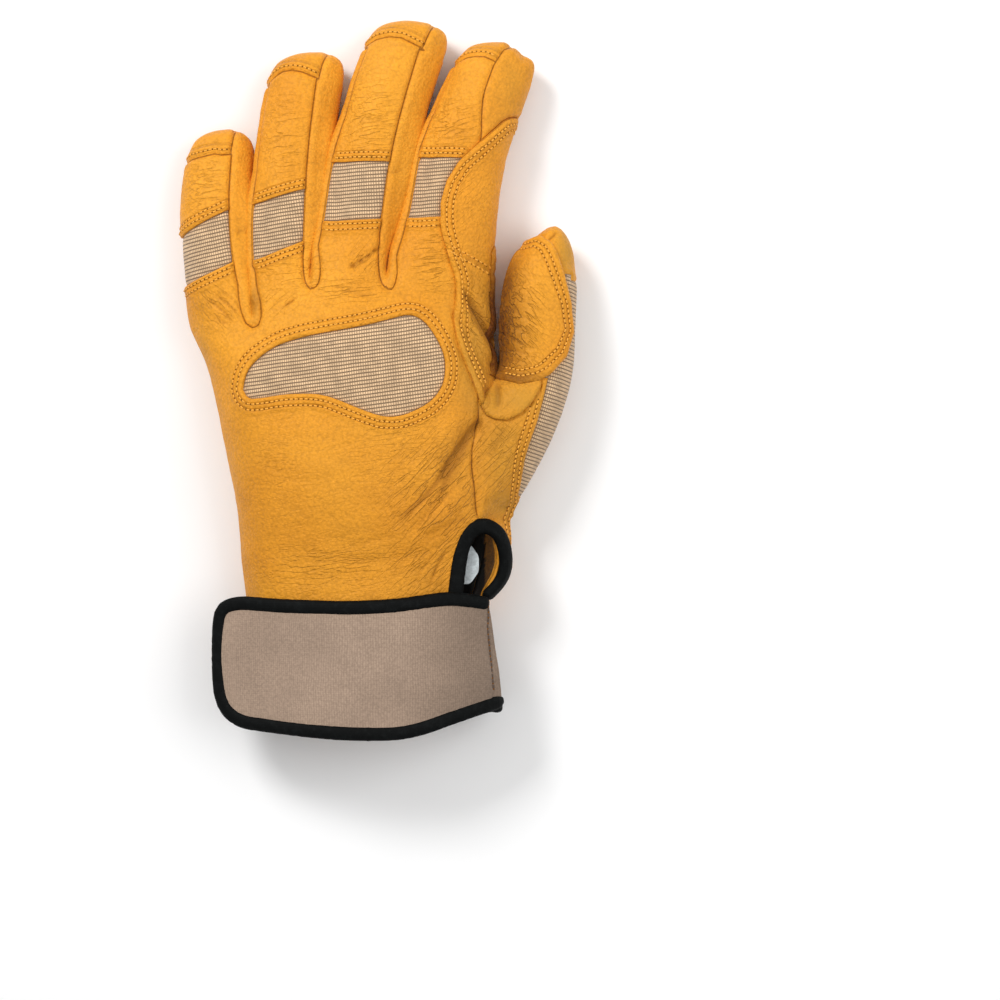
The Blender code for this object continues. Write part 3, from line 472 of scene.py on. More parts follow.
def add_fingers(cage, top):
    """Grows each finger from its loop of points round the crotch row."""
    for number, name in enumerate(FINGER_NAMES):
        finger = FINGERS[name]
        back = 2 * number
        front = LEFT_PALM_CORNER - 2 * number
        right_web = top["webs"][number + 1]
        left_web = top["webs"][number]
        ring = [
            top["ring"][back], top["ring"][back + 1], top["ring"][back + 2], right_web,
            top["ring"][front - 2], top["ring"][front - 1], top["ring"][front], left_web,
        ]
        low, high = finger["inset"]
        cap = finger["cap"]
        sections = [
            finger_ring(finger, low),
            finger_ring(finger, high),
            finger_ring(finger, (high + cap) / 2, 1.0, 0.97),
            finger_ring(finger, cap, 0.97, 0.88, finger["tip_slant"]),
        ]
        for along, width, depth in FINGER_END_ROWS:
            sections.append(finger_ring(finger, mix(cap, 1.0, along), width, depth, finger["tip_slant"]))
        for row, section in enumerate(sections):
            upper = cage.add(section)
            for corner in range(8):
                after = (corner + 1) % 8
                cage.face(
                    [ring[corner], ring[after], upper[after], upper[corner]],
                    finger_panel_name(name, corner, row),
                )
            ring = upper
        close_end(cage, ring, finger_centre(finger, 1.0), f"fingertip_{name}")


def add_thumb(cage, hole):
    ring = hole
    for row, values in enumerate(THUMB_ROWS):
        upper = cage.add(thumb_ring(values))
        for corner in range(8):
            after = (corner + 1) % 8
            cage.face([ring[corner], ring[after], upper[after], upper[corner]], thumb_panel_name(corner, row))
        ring = upper
    along, sideways, height = THUMB_TIP
    tip = Vector((*thumb_place(sideways, along), height * PALM_DEPTH))
    close_end(cage, ring, tip, "thumb_tip")


def hand_rows():
    """Every ring of the cuff and palm, with its name, from the hem to the crotches."""
    wrist_width = CUFF_WIDTH * WRIST_NARROWING
    rows = [
        ("hem", palm_ring(WRIST_EDGE_Y - CUFF_LENGTH, CUFF_CENTRE_X, CUFF_WIDTH, CUFF_DEPTH, 0, hem_shift)),
        ("cuff", palm_ring(WRIST_EDGE_Y - CUFF_LENGTH / 2, CUFF_CENTRE_X, wrist_width, CUFF_DEPTH, 0)),
        ("edge", palm_ring(WRIST_EDGE_Y, CUFF_CENTRE_X, wrist_width, CUFF_DEPTH, 0)),
    ]
    for name, along, width, depth, shift, spread in PALM_ROWS:
        step = crotch_shift(spread ** 3 * CROTCH_FOLLOW)
        rows.append((
            name,
            palm_ring(
                palm_y(along), PALM_CENTRE_X + shift * PALM_WIDTH, width * PALM_WIDTH, depth * PALM_DEPTH,
                spread, step,
            ),
        ))
    width, depth, shift = CROTCH_ROW
    rows.append((
        "crotch",
        palm_ring(
            palm_y(1.0), PALM_CENTRE_X + shift * PALM_WIDTH, width * PALM_WIDTH, depth * PALM_DEPTH,
            1.0, crotch_shift(1.0),
        ),
    ))
    return rows


def hand_cage():
    """The cage of the whole glove skin."""
    cage = Cage()
    rows = []
    for name, ring in hand_rows():
        indices = cage.add(ring)
        lips = (indices[RIGHT_CORNER], indices[RIGHT_CORNER])
        if name in SEAM_LEAN:
            cage.points[indices[RIGHT_CORNER]] += Vector((SEAM_LEAN[name] * CUFF_WIDTH, 0, 0))
        if name in SLIT_ROWS:
            back_shift, thumb_shift = SLIT_ROWS[name]
            corner = ring[RIGHT_CORNER]
            left = ring[RIGHT_CORNER - 1]
            right = ring[RIGHT_MIDDLE]
            cage.points[indices[RIGHT_CORNER]] = corner + Vector((back_shift * CUFF_WIDTH, 0, 0)) + (
                Vector((0, 0, (left.z - corner.z) * BACK_LIP_DROP))
            )
            thumb_lip = corner + Vector((thumb_shift * CUFF_WIDTH, 0, (right.z - corner.z) * THUMB_LIP_DROP))
            lips = (indices[RIGHT_CORNER], cage.add([thumb_lip])[0])
            cage.points[indices[RIGHT_CORNER - 1]].x += back_shift * CUFF_WIDTH * LIP_NEIGHBOUR
        rows.append((name, indices, lips))
    for row in range(len(rows) - 1):
        lower, upper = rows[row][1], rows[row + 1][1]
        for column in range(COLUMNS):
            if row in THUMB_HOLE_ROWS and column in (RIGHT_CORNER, RIGHT_MIDDLE):
                continue
            after = (column + 1) % COLUMNS
            corners = [lower[column], lower[after], upper[after], upper[column]]
            if column == RIGHT_CORNER:
                corners[0] = rows[row][2][1]
                corners[3] = rows[row + 1][2][1]
            cage.face(corners, palm_panel_name(row, column))
    top = rows[-1][1]
    webs = [top[LEFT_MIDDLE]]
    for number in range(1, 4):
        back = cage.points[top[2 * number]]
        front = cage.points[top[LEFT_PALM_CORNER - 2 * number]]
        webs.append(cage.add([(back + front) / 2 + Vector((0, WEB_RISE * PALM_LENGTH, 0))])[0])
    webs.append(top[RIGHT_MIDDLE])
    add_fingers(cage, {"ring": top, "webs": webs})
    first = THUMB_HOLE_ROWS[0]
    low, mid, high = (indices for _, indices, _ in rows[first:first + 3])
    hole = [
        high[RIGHT_CORNER], high[RIGHT_MIDDLE], high[RIGHT_PALM_CORNER], mid[RIGHT_PALM_CORNER],
        low[RIGHT_PALM_CORNER], low[RIGHT_MIDDLE], low[RIGHT_CORNER], mid[RIGHT_CORNER],
    ]
    add_thumb(cage, hole)
    return cage


def smooth_surface(cage):
    """The cage after subdivision, as a bmesh in millimetres whose material indices are the panels."""
    mesh = bpy.data.meshes.new("skin_cage")
    mesh.from_pydata(cage.points, [], cage.faces)
    for _ in cage.names:
        mesh.materials.append(None)
    mesh.polygons.foreach_set("material_index", cage.panels)
    obj = bpy.data.objects.new("skin_cage", mesh)
    bpy.context.scene.collection.objects.link(obj)
    modifier = obj.modifiers.new("subdivision", "SUBSURF")
    modifier.levels = LEVELS
    modifier.render_levels = LEVELS
    graph = bpy.context.evaluated_depsgraph_get()
    skin = bmesh.new()
    skin.from_mesh(obj.evaluated_get(graph).to_mesh())
    bpy.data.objects.remove(obj)
    bmesh.ops.remove_doubles(skin, verts=skin.verts, dist=WELD)
    loose = [v for v in skin.verts if not v.link_faces]
    bmesh.ops.delete(skin, geom=loose, context="VERTS")
    bmesh.ops.recalc_face_normals(skin, faces=skin.faces)
    return skin


def rest_height(y):
    """The height of the glove's underside: zero under the hand, and just over the tab under the cuff."""
    share = max(0.0, min(1.0, (WRIST_EDGE_Y + TAB_STEP_START - y) / TAB_STEP_LENGTH))
    return (TAB_WALL + CLEARANCE) * share * share * (3 - 2 * share)


def settle(skin):
    """Flattens the skin softly where it rests."""
    for vert in skin.verts:
        floor = rest_height(vert.co.y)
        over = vert.co.z - floor
        if over < REST_SOFTNESS:
            flat = max(0.0, (over + REST_SOFTNESS) / (2 * REST_SOFTNESS))
            vert.co.z = floor + flat * flat * REST_SOFTNESS
    skin.normal_update()


def from_segment(point, a, b):
    """The way in the plane from the nearest place on a segment to the point."""
    step = b - a
    share = max(0.0, min(1.0, (point - a).dot(step) / step.length_squared))
    return point - (a + step * share)


def distance_to_line(point, line):
    """Signed distance in the plane to an open line: positive on its right-hand side, walking along it."""
    best, sign = math.inf, 1.0
    for a, b in zip(line, line[1:]):
        away = from_segment(point, a, b)
        if away.length < best - 1e-9:
            best = away.length
            step = b - a
            sign = 1.0 if step.x * away.y - step.y * away.x < 0 else -1.0
    return best * sign


def inside_outline(point, outline):
    """Signed distance to a closed outline: positive inside."""
    best, crossings = math.inf, 0
    for a, b in zip(outline, outline[1:] + outline[:1]):
        best = min(best, from_segment(point, a, b).length)
        if (a.y > point.y) != (b.y > point.y):
            if point.x < a.x + (point.y - a.y) / (b.y - a.y) * (b.x - a.x):
                crossings += 1
    return best if crossings % 2 else -best


def outline_points(shares):
    index_length = Vector(FINGERS["index"]["reach"]).length
    return [
        Vector((palm_x(across), palm_y(min(along, 1.0)) + max(0.0, along - 1.0) * index_length))
        for across, along in shares
    ]


def split_along(faces, field):
    """Cuts these faces where the field is zero, and returns the faces on its positive side."""
    # A dict keeps its order, where a set of mesh elements has another one in each run.
    verts = dict.fromkeys(v for f in faces for v in f.verts)
    value = {v: field(v.co) for v in verts}
    edges = dict.fromkeys(e for f in faces for e in f.edges)
    for edge in edges:
        a, b = edge.verts
        if value[a] * value[b] >= 0:
            continue
        share = value[a] / (value[a] - value[b])
        near = a if share < SNAP_SHARE else b if share > 1 - SNAP_SHARE else None
        if near is not None:
            other = b if near is a else a
            near.co = near.co.lerp(other.co, share if near is a else 1 - share)
            value[near] = 0.0
    for edge in edges:
        a, b = edge.verts
        if value[a] * value[b] < 0:
            _, made = bmesh.utils.edge_split(edge, a, value[a] / (value[a] - value[b]))
            value[made] = 0.0
    chosen = []
    for face in faces:
        pieces = [face]
        zeros = [v for v in face.verts if value[v] == 0.0]
        signs = {value[v] > 0 for v in face.verts if value[v] != 0.0}
        if len(signs) == 2 and len(zeros) >= 2:
            made = bmesh.utils.face_split(face, zeros[0], zeros[-1])
            pieces.append(made[0])
        for piece in pieces:
            if sum(value[v] for v in piece.verts) > 0:
                chosen.append(piece)
    return chosen


def recut_panels(skin, cage):
    """Moves the stretches inside the drawn outlines from one panel to another."""

    def panel_of(name):
        if name not in cage.names:
            cage.names.append(name)
        return cage.names.index(name)

    def faces_of(*names, back=None):
        wanted = {cage.names.index(n) for n in names}
        return [
            f for f in skin.faces
            if f.material_index in wanted and (back is None or (f.normal.z > 0) == back)
        ]

    inset = outline_points(KNUCKLE_INSET)
    cut = split_along(faces_of("back_panel", back=True), lambda co: inside_outline(co.xy, inset))
    for face in cut:
        face.material_index = panel_of("knuckle_inset")
    skin.normal_update()
    for outline, side, names in (
        (WEB_EDGE_BACK, True, ("back_panel", "finger_back_index", "finger_inset_index", "index_side")),
        (WEB_EDGE_FRONT, False, ("palm_panel", "finger_front_index", "index_side")),
    ):
        line = outline_points(outline)
        cut = split_along(faces_of(*names, back=side), lambda co: -distance_to_line(co.xy, line))
        for face in cut:
            if face.calc_center_median().y > palm_y(WEB_PATCH_FROM):
                face.material_index = panel_of("web_patch")
        skin.normal_update()
    line = [thumb_place(*shares) for shares in STRETCH_EDGE_THUMB]
    cut = split_along(faces_of("thumb_base"), lambda co: -distance_to_line(co.xy, line))
    for face in cut:
        if face.calc_center_median().y > palm_y(STRETCH_FROM):
            face.material_index = panel_of("thumb_stretch")
    skin.normal_update()


def open_wrist_hole(skin, cage):
    """Cuts the clip hole through the cuff band's palm side."""

    def field(co):
        away = co.xy - tab_centre()
        return 1 - math.hypot(away.x / (HOLE_WIDTH / 2), away.y / (HOLE_LENGTH / 2))

    band = cage.names.index("cuff_band")
    faces = [f for f in skin.faces if f.material_index == band and f.normal.z < FACING_DOWN]
    bmesh.ops.delete(skin, geom=split_along(faces, field), context="FACES")
    skin.normal_update()


def is_bound(edge):
    """Whether a binding wraps this open edge of the skin: all of them but the clip hole's."""
    middle = (edge.verts[0].co + edge.verts[1].co) / 2
    return (middle.xy - tab_centre()).length > HOLE_LENGTH or middle.z > HOLE_WIDTH


# Where the photograph's pixels lie in the part's frame
PIXEL = 0.35
PIXEL_ORIGIN = (377.5, 379.0)


def at_pixel(x, y):
    """A place in the plane, in millimetres, from the photograph's pixels."""
    return Vector(((x - PIXEL_ORIGIN[0]) * PIXEL, (PIXEL_ORIGIN[1] - y) * PIXEL))


# How high each panel lies where two meet: the higher one covers the lower one's edge, and equals turn in
PANEL_RANKS = {"web_patch": 2, "thumb_pad": 3, "knuckle_inset": 0, "thumb_stretch": 0}
TURNED_SEAMS = ("side_strip", "index_side")

# Shape of a panel's edge: drop at the edge and its width, then the swell beside it, its distance and width
EDGE_SHAPES = {
    # kind: drop, width, swell, distance, width
    "turned": (0.75, 0.70, 0.20, 2.2, 1.4),
    "over": (0.34, 0.40, 0.42, 1.1, 1.6),
    "under": (0.50, 1.10, 0.00, 1.0, 1.0),
    "open": (0.10, 0.60, 0.00, 1.0, 1.0),
}
PANEL_LIFTS = {"web_patch": 0.75, "thumb_pad": 0.80, "thumb_stretch": 0.35, "thumb_tip": -0.55}
SEAM_STEP = 0.05
RIM_TAPER = -0.08
INNER_PANELS = ("cuff_band", "heel_panel", "palm_panel", "back_panel", "thumb_base", "thumb_stretch")

# Folds on the side that faces up, in the photograph's pixels. A groove's depth is over 0, a ridge's under 0.
FOLDS = (
    # from x, y, by x, y, to x, y, width and depth in millimetres
    (484, 416, 460, 448, 440, 482, 1.5, 1.45),
    (446, 470, 432, 496, 396, 524, 1.1, 0.70),
    (468, 408, 440, 446, 410, 486, 3.2, -0.70),
    (474, 446, 450, 472, 438, 498, 0.8, 0.60),
    (470, 456, 450, 488, 420, 520, 0.7, 0.45),
    (462, 478, 442, 506, 406, 536, 0.7, 0.45),
    (478, 476, 452, 508, 420, 536, 2.4, -0.45),
    (478, 517, 452, 520, 420, 540, 0.6, 0.50),
    (468, 524, 442, 530, 406, 556, 0.6, 0.36),
    (458, 536, 430, 550, 396, 564, 0.7, 0.32),
    (452, 545, 436, 565, 430, 590, 0.7, 0.42),
    (440, 548, 420, 568, 412, 592, 0.7, 0.30),
    (205, 298, 220, 306, 236, 325, 0.6, 0.55),
    (214, 294, 230, 304, 244, 319, 0.6, 0.58),
    (222, 290, 236, 300, 245, 313, 0.6, 0.34),
    (200, 322, 220, 325, 242, 321, 0.6, 0.38),
    (196, 310, 214, 316, 236, 330, 0.6, 0.30),
    (265, 319, 284, 308, 304, 299, 0.6, 0.60),
    (263, 326, 276, 322, 300, 308, 0.6, 0.34),
    (264, 312, 282, 302, 302, 294, 0.6, 0.32),
    (346, 272, 364, 264, 384, 246, 0.7, 1.00),
    (352, 262, 370, 254, 384, 240, 1.6, -0.50),
    (344, 280, 356, 284, 378, 268, 1.5, -0.30),
    (360, 262, 366, 256, 368, 246, 0.6, 0.40),
    (330, 285, 348, 297, 380, 299, 0.7, 0.50),
    (336, 276, 350, 288, 366, 290, 0.6, 0.34),
    (322, 296, 344, 306, 376, 308, 1.6, -0.22),
    (462, 290, 482, 322, 500, 358, 1.0, 1.85),
    (456, 300, 475, 334, 493, 366, 1.3, -1.15),
    (450, 306, 466, 340, 484, 372, 0.9, 0.45),
    (474, 290, 490, 318, 503, 346, 1.5, -0.45),
    (450, 252, 474, 264, 498, 278, 0.8, 0.55),
    (456, 240, 476, 252, 498, 262, 1.4, -0.30),
    (500, 300, 512, 312, 530, 322, 0.6, 0.34),
    (498, 314, 512, 326, 532, 336, 0.6, 0.38),
    (497, 328, 512, 341, 534, 350, 0.6, 0.38),
    (500, 342, 516, 354, 540, 360, 0.6, 0.34),
    (503, 356, 520, 366, 545, 368, 0.6, 0.28),
    (497, 384, 499, 396, 497, 412, 1.2, 0.85),
    (505, 424, 500, 442, 486, 462, 1.8, 0.40),
    (480, 470, 492, 480, 508, 486, 0.7, 0.30),
    (482, 500, 496, 502, 514, 512, 0.9, 0.60),
    (522, 432, 514, 450, 508, 470, 0.8, 0.28),
    (300, 560, 340, 556, 380, 562, 0.9, 0.22),
    (290, 574, 330, 577, 372, 572, 0.8, 0.20),
    (352, 545, 380, 540, 404, 532, 0.7, 0.28),
    (360, 562, 392, 560, 416, 552, 0.7, 0.26),
    (190, 175, 205, 182, 222, 180, 1.4, 0.20),
    (272, 132, 288, 138, 304, 134, 1.4, 0.22),
    (352, 118, 370, 126, 392, 122, 1.5, 0.24),
    (440, 128, 458, 138, 478, 134, 1.5, 0.28),
    (420, 238, 438, 246, 452, 246, 0.9, 0.34),
    (424, 262, 436, 276, 448, 282, 0.9, 0.34),
    (408, 232, 404, 256, 402, 284, 0.8, 0.28),
    (236, 232, 244, 236, 252, 230, 0.7, 0.50),
    (308, 196, 316, 200, 324, 192, 0.7, 0.45),
    (384, 172, 394, 178, 404, 170, 0.7, 0.45),
    (544, 241, 551, 238, 558, 229, 0.7, 0.75),
    (540, 237, 548, 233, 554, 228, 1.4, -0.30),
)

FOLD_SHARE = 1.25
FOLD_STEPS = 13
FOLD_REACH = 4
FOLD_END = 0.02
FOLD_TAPER = 1.6
FOLDS_FACE_UP = 0.05
CREVICES_FACE_UP = -0.5
FABRIC_FOLD_SHARE = 0.35

# Where the walls of two fingers press together, which closes the gap between them
CREVICES = (
    (253, 322, 247, 262, 251, 168, 2.8, -1.6),
    (316, 286, 321, 200, 341, 112, 2.8, -1.75),
    (391, 288, 401, 200, 431, 110, 2.8, -1.75),
)

# Soft patches of colour on the side that faces up, in the photograph's pixels
KHAKI_PATCHES = (
    # x, y, half width, half height, strength
    (474, 362, 16, 56, 0.60),
    (484, 300, 14, 46, 0.35),
    (490, 402, 24, 22, 0.65),
    (503, 455, 30, 50, 0.42),
    (505, 505, 20, 18, 0.60),
    (568, 252, 12, 26, 0.80),
    (520, 402, 26, 18, 0.60),
    (206, 395, 8, 90, 0.30),
    (512, 90, 14, 34, 0.30),
)
# Dark brown patches of dirt, and of painted shade where the thumb pad turns away from the light and in the
# web.
DIRT_AND_SHADE_PATCHES = (
    (491, 332, 27, 70, 1.25),
    (504, 286, 16, 42, 0.95),
    (512, 380, 30, 7, 0.85),
    (462, 440, 12, 16, 0.50),
    (448, 466, 10, 16, 0.35),
    (499, 396, 5, 16, 0.45),
    (432, 582, 16, 14, 0.30),
    (258, 305, 4, 13, 1.00),
    (500, 358, 5, 12, 0.80),
)

# Where the leather is creased by use, in the photograph's pixels, for each direction of the creases
WORN_PATCHES = {
    # x, y, half width, half height, strength
    "worn_rising": (
        (438, 492, 44, 58, 0.85), (424, 560, 40, 34, 0.60), (478, 446, 16, 34, 0.55),
        (505, 462, 26, 44, 0.65), (282, 306, 26, 14, 0.40), (366, 262, 24, 18, 0.45),
        (470, 200, 26, 60, 0.25),
    ),
    "worn_level": (
        (330, 566, 90, 26, 0.40), (300, 270, 40, 34, 0.35), (350, 292, 40, 14, 0.50),
        (285, 140, 20, 46, 0.45), (370, 120, 30, 44, 0.45), (450, 130, 26, 36, 0.50),
        (436, 262, 20, 34, 0.60), (206, 190, 22, 40, 0.50), (400, 440, 60, 60, 0.30),
        (280, 470, 50, 80, 0.20),
    ),
    "worn_falling": (
        (512, 325, 30, 52, 0.90), (216, 308, 28, 26, 0.45), (476, 320, 18, 44, 0.45),
        (500, 440, 22, 30, 0.40),
    ),
}

# Seams of the dressed glove that the solids make plainer, in the photograph's pixels
CAP_SEAMS = {
    "little": ((172, 172), (183, 163), (190, 159), (200, 157), (215, 154), (231, 157), (240, 161)),
    "ring": ((260, 92), (270, 80), (275, 75), (283, 71), (292, 70), (302, 72), (319, 79), (332, 86)),
    "middle": ((352, 56), (366, 44), (375, 39), (390, 37), (402, 39), (420, 48), (434, 57)),
    "index": ((446, 70), (457, 61), (465, 57), (475, 56), (485, 57), (494, 62), (504, 69)),
}
TIP_SEAMS = {
    "little": ((231, 170), (232, 150), (235, 129), (239, 112)),
    "ring": ((318, 88), (323, 65), (328, 50), (334, 34)),
    "middle": ((415, 66), (426, 43), (433, 26), (440, 8)),
    "index": (
        (481, 150), (482, 135), (482, 118), (483, 103), (485, 92), (489, 80), (494, 66), (504, 50),
        (515, 40), (530, 26),
    ),
}
CROTCH_ENDS = {
    "side_strip_little_ring": (
        (240, 285), (241, 300), (244, 314), (248, 324), (254, 329), (260, 327), (263, 318), (262, 304),
        (259, 290), (257, 270), (250, 262),
    ),
    "side_strip_ring_middle": (
        (306, 250), (308, 268), (309, 280), (312, 289), (316, 291), (320, 286), (322, 275), (322, 250),
    ),
    "side_strip_middle_index": (
        (383, 250), (382, 268), (384, 281), (388, 290), (392, 292), (396, 286), (398, 275), (399, 250),
    ),
}
KNUCKLE_OUTLINE = (
    (245, 391), (247, 380), (251, 370), (261, 359), (278, 347), (303, 339), (334, 333), (365, 327.5),
    (390, 321), (405, 316.5), (417, 317), (429, 326), (439, 341), (446, 357), (447, 373), (443, 390),
    (431, 404), (414, 413), (400, 418), (384, 418), (364, 411), (345, 403), (327, 396.5), (310, 395),
    (285, 396), (262, 400), (250, 400),
)
THUMB_SEAM = ((480, 524), (478, 512), (475, 484), (473, 466), (473, 450), (477, 430), (483, 404))
PAD_OUTLINE = (
    (540, 236), (552, 250), (558, 262), (563, 276), (570, 304), (572, 334), (565, 358), (549, 376),
    (538, 382), (520, 385), (500, 381), (480, 372), (470, 300), (500, 230),
)
WEB_FOOT = (
    (462, 352), (467, 366), (472, 381), (478, 396), (481, 408), (486, 416), (495, 420), (507, 421),
    (520, 415), (532, 403), (541, 386), (530, 340), (480, 330),
)
WEB_BACK = (
    (484, 414), (478, 396), (471, 378), (465, 362), (460, 348), (456, 334), (454, 319), (456, 304),
    (457, 288), (452, 262), (446, 240), (441, 216),
)
SLIT_EDGE = (
    # y, x of the back lip, x of the thumb lip
    (519, 480, 480), (522, 476, 488), (526, 473, 494), (532, 469, 499), (540, 465, 503), (552, 461, 506),
    (563, 459, 507), (576, 457, 505), (592, 456, 499),
)
# How the lips' moves spread in millimetres: how far aside, and below the table's last row how far they fade
SLIT_SPREAD = 8.0
SLIT_REACH = 30
SLIT_FADE = 14.0
SLIT_END = 20
SLIT_READ_BELOW = 10
SLIT_APEX_MARGINS = (0.5, 0.3)
SLIT_FACE_UP = -0.2
# Where the thumb's pad ends, in pixels: its root, its left side, and where the tip takes over from the strip
PAD_ROOT_Y = 392
PAD_LEFT_X = 489
PAD_TOP_Y = 276
SLIT_TAPE_LINE = (
    (455, 606), (456, 592), (458, 575), (461, 553), (467, 537), (476, 527), (487, 523.5), (498, 529),
    (505, 541), (508, 556), (508, 568), (504, 580), (496, 590), (486, 599),
)
# How far the leather beside the slit and the strap's end is drawn in, in pixels, at each y
WRIST_SIDE = (
    (488, 0), (520, 3), (545, 6.5), (568, 8.5), (588, 12), (603, 16), (620, 14), (650, 8), (690, 1), (712, 0),
)
WRIST_SIDE_SPAN = (466, 500)
# Where the strap's sewn end lies, as x at each y
STRAP_END = ((590, 488.5), (604, 490), (620, 492), (645, 495.5), (668, 499), (690, 502), (712, 504))
STRAP_END_SPAN = 450
# The peaked end of the thumb: how far up it is drawn at each x, wholly above one y and not below another
THUMB_PEAK = (
    (504, 0), (515, -4), (522, -8), (530, -6), (536, -3), (541, 0), (548, 4), (556, 7), (563, 7), (568, 5),
    (573, 3), (580, 0),
)
THUMB_PEAK_SPAN = (240, 276)


def pixel_line(points):
    return [at_pixel(*p) for p in points]


def move_faces(skin, cage, names, field, target, choose=lambda face: True):
    """Gives these panels' faces where the field is positive, on the side that faces up, to another panel."""
    wanted = {cage.names.index(n) for n in names}
    faces = [f for f in skin.faces if f.material_index in wanted and f.normal.z > 0]
    for face in split_along(faces, field):
        if choose(face):
            face.material_index = cage.names.index(target)
    skin.normal_update()


def recut_seams(skin, cage):
    """Brings the seams of the fingertips, crotches, thumb and web to where the photograph has them."""
    for name in FINGER_NAMES:
        arc = pixel_line(CAP_SEAMS[name])
        move_faces(
            skin, cage, [f"fingertip_{name}"], lambda co: distance_to_line(co.xy, arc), f"finger_back_{name}"
        )
        line = pixel_line(TIP_SEAMS[name])
        number = FINGER_NAMES.index(name)
        strip = "index_side" if name == "index" else f"side_strip_{name}_{FINGER_NAMES[number + 1]}"
        near = [f"fingertip_{name}"] + [f"finger_back_{name}"] * (name == "index")
        move_faces(skin, cage, near, lambda co: distance_to_line(co.xy, line), strip)
    for strip, points in CROTCH_ENDS.items():
        outline = pixel_line(points)
        move_faces(skin, cage, ["back_panel"], lambda co: inside_outline(co.xy, outline), strip)
    inset = pixel_line(KNUCKLE_OUTLINE)
    inset = smooth_line(inset + inset[:1], 2)[:-1]
    move_faces(skin, cage, ["back_panel"], lambda co: inside_outline(co.xy, inset), "knuckle_inset")
    move_faces(skin, cage, ["knuckle_inset"], lambda co: -inside_outline(co.xy, inset), "back_panel")
    seam = pixel_line(THUMB_SEAM)
    move_faces(skin, cage, ["back_panel"], lambda co: distance_to_line(co.xy, seam), "thumb_base")
    web = smooth_line(pixel_line(WEB_BACK), 2)
    move_faces(
        skin, cage, ["back_panel"], lambda co: distance_to_line(co.xy, web), "web_patch",
        lambda f: f.calc_center_median().y < web[-1].y,
    )
    foot = pixel_line(WEB_FOOT)
    near = ["thumb_base", "back_panel"]
    move_faces(skin, cage, near, lambda co: inside_outline(co.xy, foot), "web_patch")
    pad = pixel_line(PAD_OUTLINE)
    near = ["web_patch", "thumb_base", "thumb_tip", "thumb_stretch"]
    root = at_pixel(0, PAD_ROOT_Y).y
    left = at_pixel(PAD_LEFT_X, 0).x
    move_faces(
        skin, cage, near, lambda co: inside_outline(co.xy, pad), "thumb_pad",
        lambda f: f.calc_center_median().x > left and f.calc_center_median().y > root,
    )
    top = at_pixel(0, PAD_TOP_Y).y
    for target, choose in (
        ("thumb_tip", lambda f: f.calc_center_median().y > top),
        ("thumb_stretch", lambda f: f.calc_center_median().y <= top),
    ):
        move_faces(skin, cage, ["thumb_pad"], lambda co: -inside_outline(co.xy, pad), target, choose)


def round_slit(skin):
    """Opens the slit's lips from a point to the photograph's rounded loop, and the leather beside them."""
    border = [v.co.copy() for v in open_border(skin)]
    apex = max(range(len(border)), key=lambda n: border[n].y)
    middle_x, top = border[apex].x, border[apex].y
    low = at_pixel(0, SLIT_EDGE[-1][0]).y
    beside, above = SLIT_APEX_MARGINS
    near = [p for p in border if p.y > low - SLIT_READ_BELOW]
    back = [p for p in near if p.x < middle_x + beside]
    thumb = [p for p in near if p.x >= middle_x]
    rows = sorted(
        (at_pixel(0, y).y, at_pixel(left, 0).x, at_pixel(right, 0).x) for y, left, right in SLIT_EDGE
    )
    heights, back_wanted, thumb_wanted = zip(*rows)
    sides = []
    for lip, wanted in ((back, back_wanted), (thumb, thumb_wanted)):
        lip.sort(key=lambda p: p.y)
        sides.append(([p.y for p in lip], [p.x for p in lip], wanted))
    for vert in skin.verts:
        x, y = vert.co.x, vert.co.y
        if abs(x - middle_x) > SLIT_REACH or not low - SLIT_END <= y <= top + above:
            continue
        if vert.normal.z < SLIT_FACE_UP:
            continue
        here = min(max(y, low), heights[-1])
        fade = max(0.0, 1 - max(0.0, low - y) / SLIT_FADE)
        halfway = (np.interp(y, *sides[0][:2]) + np.interp(y, *sides[1][:2])) / 2
        ys, xs, wanted = sides[0] if x < halfway else sides[1]
        lip_x = float(np.interp(y, ys, xs))
        push = float(np.interp(here, heights, wanted)) - lip_x
        vert.co.x += push * fade * math.exp(-(((x - lip_x) / SLIT_SPREAD) ** 2))


def ease(share):
    """The share from 0 to 1, starting and ending gently."""
    return share * share * (3 - 2 * share)


def by_row(rows, y):
    """The value of a table of (pixel row, value) at this height."""
    places = [(at_pixel(0, row).y, value) for row, value in reversed(rows)]
    return float(np.interp(y, [at for at, _ in places], [value for _, value in places]))


def draw_in_side(skin):
    """Draws the leather beyond the slit in, so that the tape is outermost there, as in the photograph."""
    near, far = (at_pixel(x, 0).x for x in WRIST_SIDE_SPAN)
    for vert in skin.verts:
        if vert.co.x > near:
            share = ease(min(1.0, (vert.co.x - near) / (far - near)))
            vert.co.x -= by_row(WRIST_SIDE, vert.co.y) * PIXEL * share


def draw_up_thumb(skin):
    """Draws the thumb's round end up to a peak, as the leather folds in the photograph."""
    places = [(at_pixel(x, 0).x, shift * PIXEL) for x, shift in THUMB_PEAK]
    high, low = (at_pixel(0, y).y for y in THUMB_PEAK_SPAN)
    for vert in skin.verts:
        if vert.co.x > places[0][0] and vert.co.y > low:
            share = ease(min(1.0, (vert.co.y - low) / (high - low)))
            vert.co.y += share * float(np.interp(vert.co.x, *zip(*places)))


def kind_of_edge(name, other):
    """How this panel's edge is made where it meets the other one."""
    if other is None:
        return "open"
    if name.startswith(TURNED_SEAMS) or other.startswith(TURNED_SEAMS):
        return "turned"
    rank, other_rank = (
        0 if n.startswith("finger_inset") else PANEL_RANKS.get(n, 1) for n in (name, other)
    )
    if rank == other_rank:
        return "turned"
    return "over" if rank > other_rank else "under"


# What counts as far from every seam, in millimetres
FAR = 12.0


def tree_of(points):
    """A tree for the nearest of these points, or None where there are none."""
    if not points:
        return None
    tree = KDTree(len(points))
    for number, point in enumerate(points):
        tree.insert(point, number)
    tree.balance()
    return tree


